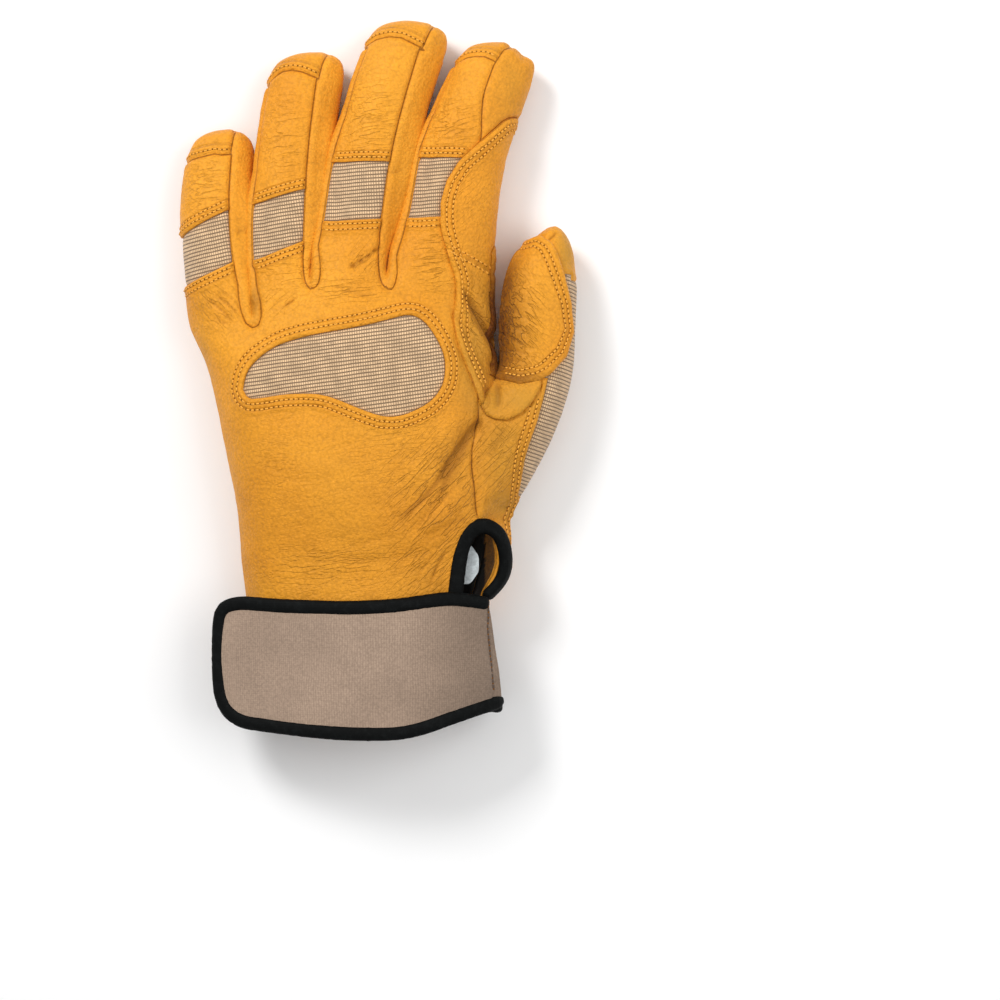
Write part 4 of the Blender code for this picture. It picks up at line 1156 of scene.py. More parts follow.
def distances(tree, points):
    """Distance of each point to the nearest one in the tree, up to FAR."""
    if tree is None:
        return np.full(len(points), FAR)
    return np.array([min(FAR, tree.find(p)[2]) for p in points])


def bell(distance, width):
    """1 at no distance, falling to nothing past this width."""
    return np.exp(-((distance / width) ** 2))


class Panel:
    """One panel of the skin: its own vertices, faces and borders, in millimetres."""

    def __init__(self, name, faces, panel_of_face):
        self.name = name
        verts = sorted({v for f in faces for v in f.verts}, key=lambda v: v.index)
        place = {v: number for number, v in enumerate(verts)}
        self.rest = np.array([v.co for v in verts])
        self.normals = np.array([v.normal for v in verts])
        self.faces = [[place[v] for v in f.verts] for f in faces]
        self.rim = []
        inward = np.zeros_like(self.rest)
        self.borders = {}
        for face in faces:
            centre = np.array(face.calc_center_median())
            for loop in face.loops:
                others = [f for f in loop.edge.link_faces if f is not face]
                if others and panel_of_face(others[0]) == name:
                    continue
                other = panel_of_face(others[0]) if others else None
                a, b = place[loop.vert], place[loop.link_loop_next.vert]
                self.rim.append((a, b))
                middle = (self.rest[a] + self.rest[b]) / 2
                for number in (a, b):
                    inward[number] += centre - middle
                self.borders.setdefault(other, []).extend([self.rest[a], middle])
        inward -= self.normals * (inward * self.normals).sum(1, keepdims=True)
        length = np.linalg.norm(inward, axis=1, keepdims=True)
        self.inward = inward / np.maximum(length, 1e-9)

    def distance_to(self, others):
        """Distance of each vertex to the borders with these neighbours."""
        points = [p for other in others for p in self.borders.get(other, ())]
        return distances(tree_of(points), self.rest)

    def shape_edges(self):
        """Lifts the panel, and rounds, tucks or turns in its edges."""
        kinds = {}
        for other, points in self.borders.items():
            kinds.setdefault(kind_of_edge(self.name, other), []).extend(points)
        lift = np.full(len(self.rest), PANEL_LIFTS.get(self.name, 0.0))
        if panel_slot(self.name) == "stretch_fabric":
            lift -= FABRIC_SINK
        nearest = np.full(len(self.rest), FAR)
        for kind, points in kinds.items():
            drop, width, swell, distance, swell_width = EDGE_SHAPES[kind]
            away = distances(tree_of(points), self.rest)
            lift += swell * bell(away - distance, swell_width) - drop * bell(away, width)
            nearest = np.minimum(nearest, away)
        self.edge_distance = nearest
        self.turned_distance = distances(tree_of(kinds.get("turned")), self.rest)
        self.lift = lift


def panel_slot(name):
    """The material slot of a panel."""
    if name.startswith("finger_inset") or name in ("knuckle_inset", "thumb_stretch"):
        return "stretch_fabric"
    return "neoprene" if name == "cuff_band" else "leather"


def fold_field(points, up, folds, least_up):
    """How deep the folds are at each point, for the surface that faces up at least this much."""
    depth = np.zeros(len(points))
    flat = points[:, :2]
    for x0, y0, x1, y1, x2, y2, width, fold_depth in folds:
        start, via, end = (np.array(at_pixel(x, y)) for x, y in ((x0, y0), (x1, y1), (x2, y2)))
        centre = (start + end) / 2
        reach = np.linalg.norm(end - start) / 2 + FOLD_REACH * width
        near = np.nonzero((np.linalg.norm(flat - centre, axis=1) < reach) & (up > least_up))[0]
        if not len(near):
            continue
        steps = np.linspace(0, 1, FOLD_STEPS)
        line = np.array([(1 - t) ** 2 * start + 2 * t * (1 - t) * via + t * t * end for t in steps])
        best = np.full(len(near), np.inf)
        along = np.zeros(len(near))
        for number, (a, b) in enumerate(zip(line, line[1:])):
            step = b - a
            share = np.clip(((flat[near] - a) @ step) / (step @ step), 0, 1)
            away = np.linalg.norm(flat[near] - a - share[:, None] * step, axis=1)
            closer = away < best
            best[closer] = away[closer]
            along[closer] = (number + share[closer]) / (len(line) - 1)
        swell = np.sin(np.pi * np.clip(along, FOLD_END, 1 - FOLD_END))
        depth[near] += FOLD_SHARE * fold_depth * bell(best, width) * np.clip(swell * FOLD_TAPER, 0, 1)
    return depth


# How a patch fades from its middle, and from the surface that faces up to the one that doesn't
PATCH_FALL = 0.9
UP_STEEPNESS = 3
UP_START = 0.6


def patch_field(points, up, patches):
    """Strength of soft elliptical patches at each point, for the surface that faces up."""
    strength = np.zeros(len(points))
    for x, y, half_width, half_height, most in patches:
        centre = at_pixel(x, y)
        across = (points[:, 0] - centre.x) / (half_width * PIXEL)
        along = (points[:, 1] - centre.y) / (half_height * PIXEL)
        strength = np.maximum(strength, most * np.exp(-(across ** 2 + along ** 2) * PATCH_FALL))
    return strength * np.clip(up * UP_STEEPNESS + UP_START, 0, 1)


# Wrinkles that cover whole stretches of the leather: size along X, Y and Z in millimetres, and depth
WRINKLES = (
    # x, y, z, depth
    (26.0, 30.0, 20.0, 0.55),
    (9.0, 6.0, 8.0, 0.17),
    (4.2, 2.4, 3.5, 0.075),
)


WRINKLE_SHIFT = (7.3, 3.1, 1.7)


def wrinkle_field(points):
    """Height of the wrinkles at each point, the sum of their sizes."""
    height = np.zeros(len(points))
    for number, (x, y, z, depth) in enumerate(WRINKLES):
        shift = Vector((WRINKLE_SHIFT[0] * number, *WRINKLE_SHIFT[1:]))
        height += depth * np.array([
            noise.noise(Vector((p[0] / x, p[1] / y, p[2] / z)) + shift) for p in points
        ])
    return height


# Angle past which an edge stays sharp, in degrees, for cloth and for what is thick and round
CLOTH_SHARP = 50
ROUND_SHARP = 60


def add_attribute(mesh, name, values):
    attribute = mesh.attributes.new(name, "FLOAT", "POINT")
    attribute.data.foreach_set("value", np.asarray(values, np.float32))


def write_mesh(name, points, faces, materials, face_materials=None, attributes=None, sharp=CLOTH_SHARP):
    """A mesh object in metres, from points in millimetres."""
    mesh = bpy.data.meshes.new(name)
    mesh.from_pydata((np.asarray(points) * MM).tolist(), [], [list(f) for f in faces])
    for one in materials:
        mesh.materials.append(one)
    if face_materials is not None:
        mesh.polygons.foreach_set("material_index", np.asarray(face_materials, np.int32))
    for key, values in (attributes or {}).items():
        add_attribute(mesh, key, values)
    mesh.update()
    mesh.shade_smooth()
    mesh.set_sharp_from_angle(angle=math.radians(sharp))
    obj = bpy.data.objects.new(name, mesh)
    bpy.context.scene.collection.objects.link(obj)
    return obj


def place_piece(obj, slot_name, *nodes):
    """Hangs a piece on the part's one body, and hides the solids that it stands for; its slot is not used."""
    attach(obj, "root")
    if nodes:
        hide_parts(*nodes)
    return obj


# Stitch rows, in millimetres: pitch on the back and on the palm, where the first row lies, and the next
BACK_PITCH = 1.72
PALM_PITCH = 1.9
ROW_START = 1.9
ROW_STEP = 2.1

# A stitch: its size in millimetres, how far it strays aside, how far it stands up as a share of its radius
STITCH_LENGTH = 1.15
STITCH_RADIUS = 0.27
STITCH_WOBBLE = 0.16
STITCH_RISE = 0.25
STITCH_SIDES = 6
STITCH_SECTIONS = (
    # place along, as a share of the length, and size, as a share of the radius
    (-0.5, 0.45), (-0.32, 1.0), (0.32, 1.0), (0.5, 0.45),
)

# A needle hole's shadow: its radius, the height of its middle and of its rim, and its corners
HOLE_SHADOW_RADIUS = 0.31
HOLE_SHADOW_CREST = 0.075
HOLE_SHADOW_LIFT = 0.02
HOLE_SHADOW_SIDES = 8

# A seam of no more points than this isn't sewn. A direction is taken over this length to either side, and a
# line across a panel is sewn where the surface faces up by more, or by less, than this.
SHORTEST_ROW = 4
LOOK_AHEAD = 0.4
CROSSING_UP = 0.3

# Stitch rows: panel, neighbours it runs beside, distances from that seam, and pitch
STITCH_ROWS = (
    ("back_panel", ("knuckle_inset",), (1.9, 4.0), BACK_PITCH),
    (
        "web_patch", ("back_panel", "finger_back_index", "finger_inset_index", "index_side"), (2.1, 4.2),
        BACK_PITCH,
    ),
    ("thumb_pad", ("web_patch", "thumb_base", "thumb_stretch", "thumb_tip"), (2.6, 4.7), BACK_PITCH),
    ("thumb_base", ("thumb_stretch",), (1.9, 4.0), BACK_PITCH),
    *((f"finger_back_{name}", (f"finger_inset_{name}",), (1.3, 3.1), BACK_PITCH) for name in FINGER_NAMES),
    ("back_panel", ("finger_inset_little", "finger_inset_ring"), (1.4, 3.2), BACK_PITCH),
    ("back_panel", ("finger_inset_middle", "finger_inset_index"), (1.4, 3.2), BACK_PITCH),
    *((f"fingertip_{name}", (f"finger_back_{name}",), (1.7,), BACK_PITCH) for name in FINGER_NAMES),
    ("palm_panel", ("heel_panel",), (1.8, 3.8), PALM_PITCH),
    ("heel_panel", ("thumb_stretch",), (2.0, 4.0), PALM_PITCH),
)

# Pairs of stitch lines across a panel: panel, whether it faces up, and ends in the photograph's pixels
STITCH_LINES = (
    ("web_patch", True, (450, 254), (497, 279)),
    ("palm_panel", False, (232, 408), (438, 318)),
    ("palm_panel", False, (242, 362), (390, 494)),
    ("finger_front_ring", False, (262, 152), (322, 156)),
    ("finger_front_ring", False, (258, 211), (318, 214)),
    ("finger_front_middle", False, (346, 96), (424, 100)),
    ("finger_front_middle", False, (338, 150), (402, 154)),
    ("finger_front_middle", False, (334, 206), (394, 210)),
    ("finger_front_index", False, (428, 130), (500, 140)),
    ("finger_front_index", False, (414, 182), (470, 188)),
    ("finger_front_little", False, (186, 200), (238, 204)),
    ("finger_front_little", False, (186, 252), (240, 256)),
)

# Where no row is sewn: panel and an outline in the photograph's pixels
UNSEWN = (
    ("thumb_pad", ((480, 200), (534, 200), (506, 290), (506, 372), (480, 372))),
    ("thumb_pad", ((480, 366), (505, 366), (505, 400), (480, 400))),
    ("web_patch", ((483, 384), (560, 384), (560, 440), (483, 440))),
)

# A row stops where it comes nearer to a seam than this share of its distance, or of the most that counts
NEAREST_SHARE = 0.8
NEAREST_MOST = 1.5


def contour_lines(panel, field, level):
    """The lines on a panel where the field has this level, each a list of (point, normal, edge distance)."""
    links = {}
    over = field > level
    for face in panel.faces:
        crossed = []
        for a, b in zip(face, face[1:] + face[:1]):
            if over[a] != over[b]:
                crossed.append((min(a, b), max(a, b)))
        if len(crossed) == 2:
            for one, two in (crossed, crossed[::-1]):
                links.setdefault(one, []).append(two)
    used = set()
    lines = []
    ends = [key for key, others in links.items() if len(others) == 1]
    for start in ends + list(links):
        if start in used:
            continue
        chain = [start]
        used.add(start)
        while True:
            following = [k for k in links[chain[-1]] if k not in used]
            if not following:
                break
            chain.append(following[0])
            used.add(following[0])
        if len(chain) > SHORTEST_ROW:
            lines.append([along_edge(panel, a, b, field, level) for a, b in chain])
    return lines


def along_edge(panel, a, b, field, level):
    """Point, normal and edge distance where the field passes this level between two vertices."""
    share = (level - field[a]) / (field[b] - field[a])
    all_values = (panel.points, panel.normals, panel.edge_distance)
    return tuple(mix(values[a], values[b], share) for values in all_values)


def lengths_along(points):
    """How far along the line each of its points lies."""
    return np.concatenate([[0], np.cumsum(np.linalg.norm(np.diff(points, axis=0), axis=1))])


def at_length(values, lengths, at):
    """The values this far along the line, a row of which belongs to each of its points."""
    return np.array([np.interp(at, lengths, column) for column in values.T])


def evenly(line, pitch):
    """Places at this pitch along a line of points: (point, direction, normal, edge distance)."""
    points, normals, away = (np.array(values) for values in zip(*line))
    for _ in range(2):
        points[1:-1] = (points[:-2] + 2 * points[1:-1] + points[2:]) / 4
    lengths = lengths_along(points)
    places = []
    for at in np.arange(pitch / 2, lengths[-1], pitch):
        ahead = at_length(points, lengths, at + LOOK_AHEAD)
        behind = at_length(points, lengths, at - LOOK_AHEAD)
        places.append((
            Vector(at_length(points, lengths, at)),
            Vector(ahead - behind).normalized(),
            Vector(at_length(normals, lengths, at)).normalized(),
            float(np.interp(at, lengths, away)),
        ))
    return places


def tube_faces(start, rings, sides):
    """The faces of a closed tube, whose points follow ring by ring from this number on."""
    faces = []
    for ring in range(rings - 1):
        low = start + ring * sides
        for number in range(sides):
            after = (number + 1) % sides
            faces.append([low + number, low + after, low + sides + after, low + sides + number])
    faces.append([start + n for n in reversed(range(sides))])
    faces.append([start + (rings - 1) * sides + n for n in range(sides)])
    return faces


def slab_faces(columns, lanes):
    """The faces of a closed slab: a grid of points on its one side, and the same grid again on the other."""
    width = lanes + 1
    half = width * (columns + 1)
    faces = []
    for column in range(columns):
        for lane in range(lanes):
            a = column * width + lane
            faces.append([a, a + 1, a + width + 1, a + width])
            faces.append([half + a, half + a + width, half + a + width + 1, half + a + 1])
    ring = (
        list(range(width)) + [c * width + lanes for c in range(1, columns + 1)]
        + [columns * width + lane for lane in range(lanes - 1, -1, -1)]
        + [c * width for c in range(columns - 1, 0, -1)]
    )
    for a, b in zip(ring, ring[1:] + ring[:1]):
        faces.append([a, b, b + half, a + half])
    return faces


class Stitches:
    """Collects the stitches and the painted shadows of the needle holes of the whole glove, to be written as
    two pieces.
    """

    def __init__(self):
        self.thread = ([], [])
        self.hole_shadows = ([], [])
        self.count = 0

    def add(self, point, along, up, pitch, length=STITCH_LENGTH):
        """One stitch, a touch out of line, and the painted shadow of the needle hole after it."""
        side = along.cross(up).normalized()
        self.count += 1
        wobble = noise.noise(Vector((self.count * 0.37, 0.5, 0.5)))
        point = point + side * wobble * STITCH_WOBBLE
        points, faces = self.thread
        faces.extend(tube_faces(len(points), len(STITCH_SECTIONS), STITCH_SIDES))
        for place, size in STITCH_SECTIONS:
            for number in range(STITCH_SIDES):
                turn = 2 * math.pi * number / STITCH_SIDES
                points.append(
                    point + along * place * length + up * (STITCH_RADIUS * STITCH_RISE)
                    + (side * math.cos(turn) + up * math.sin(turn)) * STITCH_RADIUS * size
                )
        self.add_hole_shadow(point + along * pitch / 2, along, side, up)

    # The painted shadow of a needle hole: a small dark cone on the surface.
    def add_hole_shadow(self, point, along, side, up):
        points, faces = self.hole_shadows
        start = len(points)
        points.append(point + up * HOLE_SHADOW_CREST)
        for number in range(HOLE_SHADOW_SIDES):
            turn = 2 * math.pi * number / HOLE_SHADOW_SIDES
            points.append(
                point + up * HOLE_SHADOW_LIFT + (along * math.cos(turn) + side * math.sin(turn)) * HOLE_SHADOW_RADIUS
            )
            faces.append([start, start + 1 + number, start + 1 + (number + 1) % HOLE_SHADOW_SIDES])

    # The paint given as hole is the one for the needle holes' painted shadows.
    def write(self, name, thread, hole, slot_name):
        place_piece(write_mesh(name, *self.thread, [thread]), slot_name)
        place_piece(write_mesh(name + "_holes", *self.hole_shadows, [hole]), slot_name)


def sew_beside(panel, stitches):
    """The rows of stitches beside this panel's seams, left out where none is sewn."""
    unsewn = [pixel_line(outline) for name, outline in UNSEWN if name == panel.name]
    for name, others, rows, pitch in STITCH_ROWS:
        if name != panel.name:
            continue
        away = panel.distance_to(others)
        for distance in rows:
            least = NEAREST_SHARE * min(distance, NEAREST_MOST)
            for line in contour_lines(panel, away, distance):
                for point, along, up, from_edge in evenly(line, pitch):
                    bare = up.z > 0 and any(inside_outline(point.xy, outline) > 0 for outline in unsewn)
                    if from_edge > least and not bare:
                        stitches.add(point, along, up, pitch)


def sew_across(panel, stitches):
    """The stitch lines that cross this panel, laid on its surface from above or below."""
    lines = [line[1:] for line in STITCH_LINES if line[0] == panel.name]
    if not lines:
        return
    tree = BVHTree.FromPolygons([Vector(p) for p in panel.points], panel.faces)
    for faces_up, start, end in lines:
        a, b = at_pixel(*start), at_pixel(*end)
        along = (b - a).normalized()
        aside = Vector((-along.y, along.x))
        height = 2 * PALM_DEPTH if faces_up else -1.0
        ray = Vector((0, 0, -1 if faces_up else 1))
        for row in (0.0, ROW_STEP):
            for step in range(int((b - a).length / BACK_PITCH)):
                flat = a + along * (step + 0.5) * BACK_PITCH + aside * row
                hit, normal, _, _ = tree.ray_cast(Vector((flat.x, flat.y, height)), ray)
                if hit is None or (normal.z > CROSSING_UP) != faces_up:
                    continue
                way = Vector((along.x, along.y, 0))
                way = (way - normal * way.dot(normal)).normalized()
                stitches.add(hit, way, normal, BACK_PITCH)


# The dark lining and painted shade that show through the slit, round the golden edge of the leather
LINING_AND_SHADE_OUTLINE = pixel_line(((430, 500), (485, 500), (485, 620), (430, 620)))

WALLS = {"neoprene": CUFF_WALL, "stretch_fabric": FABRIC_WALL, "leather": LEATHER_WALL}

# How high the inside of the cuff's band lies at least, and how much of the stains, and of the dirt and
# painted shade, each panel takes
BAND_INSIDE_LEAST = 0.4
KHAKI_SHARES = {"thumb_pad": 0.25, "thumb_front": 0.25}
DIRT_AND_SHADE_SHARES = {"thumb_pad": 1.0, "web_patch": 0.22}
DIRT_AND_SHADE_SHARE_ELSEWHERE = 0.5

# How much painted shade a fold and a wrinkle's valley give the leather, and between which limits
SHADE_PER_FOLD = 1.3
SHADE_PER_WRINKLE = 0.25
FOLD_SHADE_LIMITS = (-1, 1.5)


def make_panel(panel, paints, wrinkles):
    """Writes one panel as a piece: its outside, its rim, and its inside where that shows."""
    slot_name = panel_slot(panel.name)
    up = panel.normals[:, 2]
    folds = fold_field(panel.rest, up, FOLDS, FOLDS_FACE_UP)
    share = 1.0 if slot_name == "leather" else FABRIC_FOLD_SHARE
    crevices = fold_field(panel.rest, up, CREVICES, CREVICES_FACE_UP)
    height = panel.lift + (wrinkles - folds) * share - crevices
    edge = np.zeros(len(panel.rest), bool)
    for a, b in panel.rim:
        edge[[a, b]] = True
    step = np.where(edge, SEAM_STEP, 0.0)[:, None] * panel.inward
    panel.points = panel.rest + step + panel.normals * height[:, None]
    panel.points[:, 2] = np.maximum(panel.points[:, 2], 0.0)
    depth = WALLS[slot_name] - np.minimum(height, 0.0)
    inner = panel.rest - panel.normals * depth[:, None] + step + panel.inward * edge[:, None] * RIM_TAPER
    inner[:, 2] = np.maximum(inner[:, 2], 0.0 if panel.name != "cuff_band" else BAND_INSIDE_LEAST)
    count = len(panel.rest)
    lined = panel.name in INNER_PANELS
    copied = np.arange(count) if lined else np.nonzero(edge)[0]
    place = {number: count + n for n, number in enumerate(copied.tolist())}
    faces = list(panel.faces)
    if lined:
        faces += [[c + count for c in reversed(f)] for f in panel.faces]
    kinds = [0] * len(panel.faces) + [1] * (len(faces) - len(panel.faces)) + [0] * len(panel.rim)
    faces += [[b, a, place[a], place[b]] for a, b in panel.rim]
    under = inner[copied]
    values = outside_values(panel, slot_name, folds, wrinkles)
    inside = {
        "lining_and_shade": np.array([inside_outline(Vector(p[:2]), LINING_AND_SHADE_OUTLINE) > 0 for p in under], float),
        "seam": np.full(len(under), FAR),
    }
    for name in ("rib", "column"):
        if name in values:
            inside[name] = values[name][copied]
    attributes = {
        name: np.concatenate([outside, inside.get(name, np.zeros(len(under)))])
        for name, outside in values.items()
    }
    points = np.concatenate([panel.points, under])
    obj = write_mesh(panel.name + "_skin", points, faces, paints, kinds, attributes)
    place_piece(obj, slot_name, panel.name)


def outside_values(panel, slot_name, folds, wrinkles):
    """What the paints read at each vertex of the panel's outside, by name."""
    fold_shade = np.clip(folds * SHADE_PER_FOLD - wrinkles * SHADE_PER_WRINKLE, *FOLD_SHADE_LIMITS)
    values = {"lining_and_shade": np.zeros(len(panel.rest)), "seam": panel.turned_distance, "fold_shade": fold_shade}
    if slot_name == "stretch_fabric":
        values["rib"], values["column"] = rib_field(panel.name, panel.rest)
        values["under"] = panel.edge_distance
    if slot_name == "leather":
        sewn = np.full(len(panel.rest), FAR)
        for name, others, rows, _ in STITCH_ROWS:
            if name == panel.name:
                sewn = np.minimum(sewn, panel.distance_to(others) + ROW_START - rows[0])
        values["sewn"] = sewn
        up = panel.normals[:, 2]
        for name, patches in WORN_PATCHES.items():
            values[name] = patch_field(panel.rest, up, patches)
        khaki = patch_field(panel.rest, up, KHAKI_PATCHES)
        dirt_and_shade = patch_field(panel.rest, up, DIRT_AND_SHADE_PATCHES)
        values["khaki"] = khaki * KHAKI_SHARES.get(panel.name, 1.0)
        values["dirt_and_shade"] = dirt_and_shade * DIRT_AND_SHADE_SHARES.get(panel.name, DIRT_AND_SHADE_SHARE_ELSEWHERE)
    return values


# How the ribs of each stretch inset lie: slope in degrees from across the hand, how much it steepens per
# millimetre to the right, and how a place along a rib is counted, across the hand and upwards
RIBS = {
    "finger_inset_little": (13.0, 0.0, 1.0, 0.5),
    "finger_inset_ring": (9.0, 0.0, 1.0, 0.5),
    "finger_inset_middle": (4.0, 0.0, 1.0, 0.5),
    "finger_inset_index": (3.0, 0.0, 1.0, 0.5),
    "knuckle_inset": (8.0, 0.10, 1.0, 0.5),
    "thumb_stretch": (-18.0, 0.0, 0.5, -1.0),
}


def rib_field(name, points):
    """Places across and along the ribs, in millimetres."""
    slope, steepening, across, upwards = RIBS[name]
    turn = math.radians(slope)
    x = points[:, 0]
    y = points[:, 1]
    bend = math.radians(steepening) * np.maximum(x, 0.0) ** 2 / 2
    rib = y * math.cos(turn) - x * math.sin(turn) - bend
    column = across * (x * math.cos(turn) + y * math.sin(turn)) + upwards * points[:, 2]
    return rib, column


# Round section of a binding, as steps of a turn, and how square it is
BINDING_SIDES = 20
BINDING_POWER = 2.6

# Size of a binding's first sections, the same at its end, and how it puckers and how often
BINDING_END_SIZES = (0.55, 0.85, 1.0)
PUCKER = 0.06
PUCKER_STEP = 1.9
PUCKER_SPREAD = 0.3
SLIT_TAPE_WIDTH = 5.4

# Pitch of the sections of the hem's and the slit's binding, and how far the hem's stands off the floor
HEM_PITCH = 1.2
SLIT_PITCH = 1.0
HEM_OFF_FLOOR = 0.05
HEM_MARGIN = 1.0
NEAR_LIP_POINTS = 6


def binding_section(width, thickness):
    """The points round a binding, as (across, up)."""
    section = []
    for number in range(BINDING_SIDES):
        turn = 2 * math.pi * number / BINDING_SIDES
        c, s = math.cos(turn), math.sin(turn)
        section.append((
            math.copysign(abs(c) ** (2 / BINDING_POWER), c) * width / 2,
            math.copysign(abs(s) ** (2 / BINDING_POWER), s) * thickness / 2,
        ))
    return section


def smooth_line(points, rounds):
    """The open line with its corners cut, this many times."""
    for _ in range(rounds):
        cut = [points[0]]
        for a, b in zip(points, points[1:]):
            cut.append(a.lerp(b, 0.25))
            cut.append(a.lerp(b, 0.75))
        points = cut + [points[-1]]
    return points


def even_line(points, pitch):
    """The open line with points at about this pitch."""
    flat = np.array(points)
    lengths = lengths_along(flat)
    count = max(4, round(lengths[-1] / pitch))
    return [Vector(at_length(flat, lengths, at)) for at in np.linspace(0, lengths[-1], count + 1)]


def sweep(name, frames, width, paint, node):
    """A binding through these frames (centre, across, up), rounded off at both ends, with a slight pucker."""
    section = binding_section(width, BINDING_THICKNESS)
    points = []
    last = len(frames) - 1
    for number, (centre, across, up) in enumerate(frames):
        size = BINDING_END_SIZES[min(number, last - number, len(BINDING_END_SIZES) - 1)]
        pucker = 1 + PUCKER * math.sin(number * PUCKER_STEP) * noise.noise(centre * PUCKER_SPREAD)
        for a, b in section:
            points.append(centre + across * a * size * pucker + up * b * size)
    fixed = np.array(points)
    fixed[:, 2] = np.maximum(fixed[:, 2], 0.0)
    faces = tube_faces(0, len(frames), len(section))
    obj = write_mesh(name, fixed, faces, [paint], sharp=ROUND_SHARP)
    fix_normals(obj)
    place_piece(obj, "binding", node)


def fix_normals(obj):
    """Turns the faces outwards, whichever way the piece was wound."""
    made = bmesh.new()
    made.from_mesh(obj.data)
    bmesh.ops.recalc_face_normals(made, faces=made.faces)
    if made.calc_volume(signed=True) < 0:
        bmesh.ops.reverse_faces(made, faces=made.faces)
    made.to_mesh(obj.data)
    made.free()


def open_border(skin):
    """The open edge of the skin at the hem and the slit, in order from the slit's top round the hem."""
    edges = [e for e in skin.edges if len(e.link_faces) == 1 and is_bound(e)]
    links = {}
    for edge in edges:
        for vert in edge.verts:
            links.setdefault(vert, []).append(edge)
    start = max(links, key=lambda v: v.co.y)
    edge = min(links[start], key=lambda e: e.other_vert(start).co.x)
    order, vert = [start], start
    while True:
        vert = edge.other_vert(vert)
        if vert is start:
            return order
        order.append(vert)
        edge = next(e for e in links[vert] if e is not edge)


def border_frames(line, wall, pitch):
    """Frames along a border given as (point, normal) pairs, centred in a wall of this thickness."""
    joined = [Vector((*p, *n)) for p, n in line]
    even = even_line(joined, pitch)
    points = [Vector(v[:3]) for v in even]
    ups = [Vector(v[3:]) for v in even]
    for _ in range(4):
        points = smoothed(points)
        ups = smoothed(ups)
    frames = []
    for number, point in enumerate(points):
        along = points[min(number + 1, len(points) - 1)] - points[max(number - 1, 0)]
        along.normalize()
        up = ups[number] - along * ups[number].dot(along)
        up.normalize()
        frames.append((point - up * wall / 2, up.cross(along), up))
    return frames


def smoothed(values):
    """The values with each but the ends drawn towards its neighbours."""
    inner = [(a + 2 * b + c) / 4 for a, b, c in zip(values, values[1:], values[2:])]
    return [values[0]] + inner + [values[-1]]


def make_bindings(skin, paint):
    """The tape along the hem, and the one round the slit's rounded loop."""
    pairs = [(v.co.copy(), v.normal.copy()) for v in open_border(skin)]
    low = min(p.y for p, _ in pairs)
    corners = [n for n, (p, _) in enumerate(pairs) if p.y < low + HEM_RISE + HEM_MARGIN]
    hem = pairs[corners[0]:corners[-1] + 1]
    frames = []
    for centre, across, up in border_frames(hem, CUFF_WALL, HEM_PITCH):
        reach = abs(across.z) * BINDING_WIDTH / 2 + abs(up.z) * BINDING_THICKNESS / 2
        frames.append((Vector((centre.x, centre.y, max(centre.z, reach + HEM_OFF_FLOOR))), across, up))
    sweep("hem_tape", frames, BINDING_WIDTH, paint, "hem_binding")
    slit = pairs[corners[-1] + 1:] + pairs[:corners[0]]
    tree = tree_of([Vector((p.x, p.y, 0)) for p, _ in slit])
    line = []
    for place in even_line(smooth_line(pixel_line(SLIT_TAPE_LINE), 3), SLIT_PITCH):
        near = tree.find_n(Vector((place.x, place.y, 0)), NEAR_LIP_POINTS)
        height = sum(slit[n][0].z for _, n, _ in near) / len(near)
        normal = sum((slit[n][1] for _, n, _ in near), Vector()) / len(near)
        line.append((Vector((place.x, place.y, height)), normal))
    frames = border_frames(line, LEATHER_WALL, SLIT_PITCH)
    sweep("slit_tape", frames, SLIT_TAPE_WIDTH, paint, "slit_binding")


# The strap: where it leaves the cuff, as a share of the half width, and the steps its slopes are taken over
STRAP_LEAVES = -0.70
LEAVE_STEP = 0.01
SLOPE_STEP = 0.2
STRAP_COLUMNS = 150
STRAP_LANES = 64
STRAP_PITCH = 1.0
STRAP_UNDER_TAPE = 1.2

# Its padding: how high it stands and how far from the edge it rises, and its uneven swells
STRAP_DOME = 0.35
STRAP_DOME_RISE = 4.0
STRAP_PUFFS = (
    # height, waves per millimetre along and across, place in the noise
    (0.30, 0.055, 0.09, 4.0),
    (0.10, 0.200, 0.25, 9.0),
)

# Its sewn line near the fixed end: pixels, depth and width of the groove, and its stitches
STRAP_SEAM = ((487, 603), (486, 625), (488, 650), (492, 690))
GROOVE_DEPTH = 0.4
GROOVE_WIDTH = 0.5
STRAP_STITCH_LENGTH = 1.3
STRAP_STITCH_SINK = 0.3


def strap_height(x):
    """Height of the strap's middle layer: over the cuff's section, then straight on to the free end."""
    stand = CLEARANCE + (BINDING_THICKNESS - CUFF_WALL) / 2 + BINDING_THICKNESS / 2 + STRAP_STAND
    half_width = CUFF_WIDTH / 2 + stand
    half_depth = CUFF_DEPTH / 2 + stand
    offset = (x - CUFF_CENTRE_X) / half_width
    height = arch_height(max(offset, STRAP_LEAVES))
    if offset < STRAP_LEAVES:
        slope = (arch_height(STRAP_LEAVES + LEAVE_STEP) - arch_height(STRAP_LEAVES)) / LEAVE_STEP
        height += slope * (offset - STRAP_LEAVES)
    return CUFF_DEPTH / 2 - REST_SINK + height * half_depth


def strap_frame(x, y):
    """The place on the strap's middle layer, and the way up from it."""
    rise = (strap_height(x + SLOPE_STEP) - strap_height(x - SLOPE_STEP)) / (2 * SLOPE_STEP)
    return Vector((x, y, strap_height(x))), Vector((-rise, 0, 1)).normalized()


def slanted(point):
    """The strap's place with its sewn end slanted as the photograph has it."""
    start = at_pixel(STRAP_END_SPAN, 0).x
    end = strap_place(0, 0).x
    if point.x < start:
        return point
    wanted = at_pixel(by_row(STRAP_END, point.y), 0).x
    return Vector((start + (point.x - start) * (wanted - start) / (end - start), point.y))


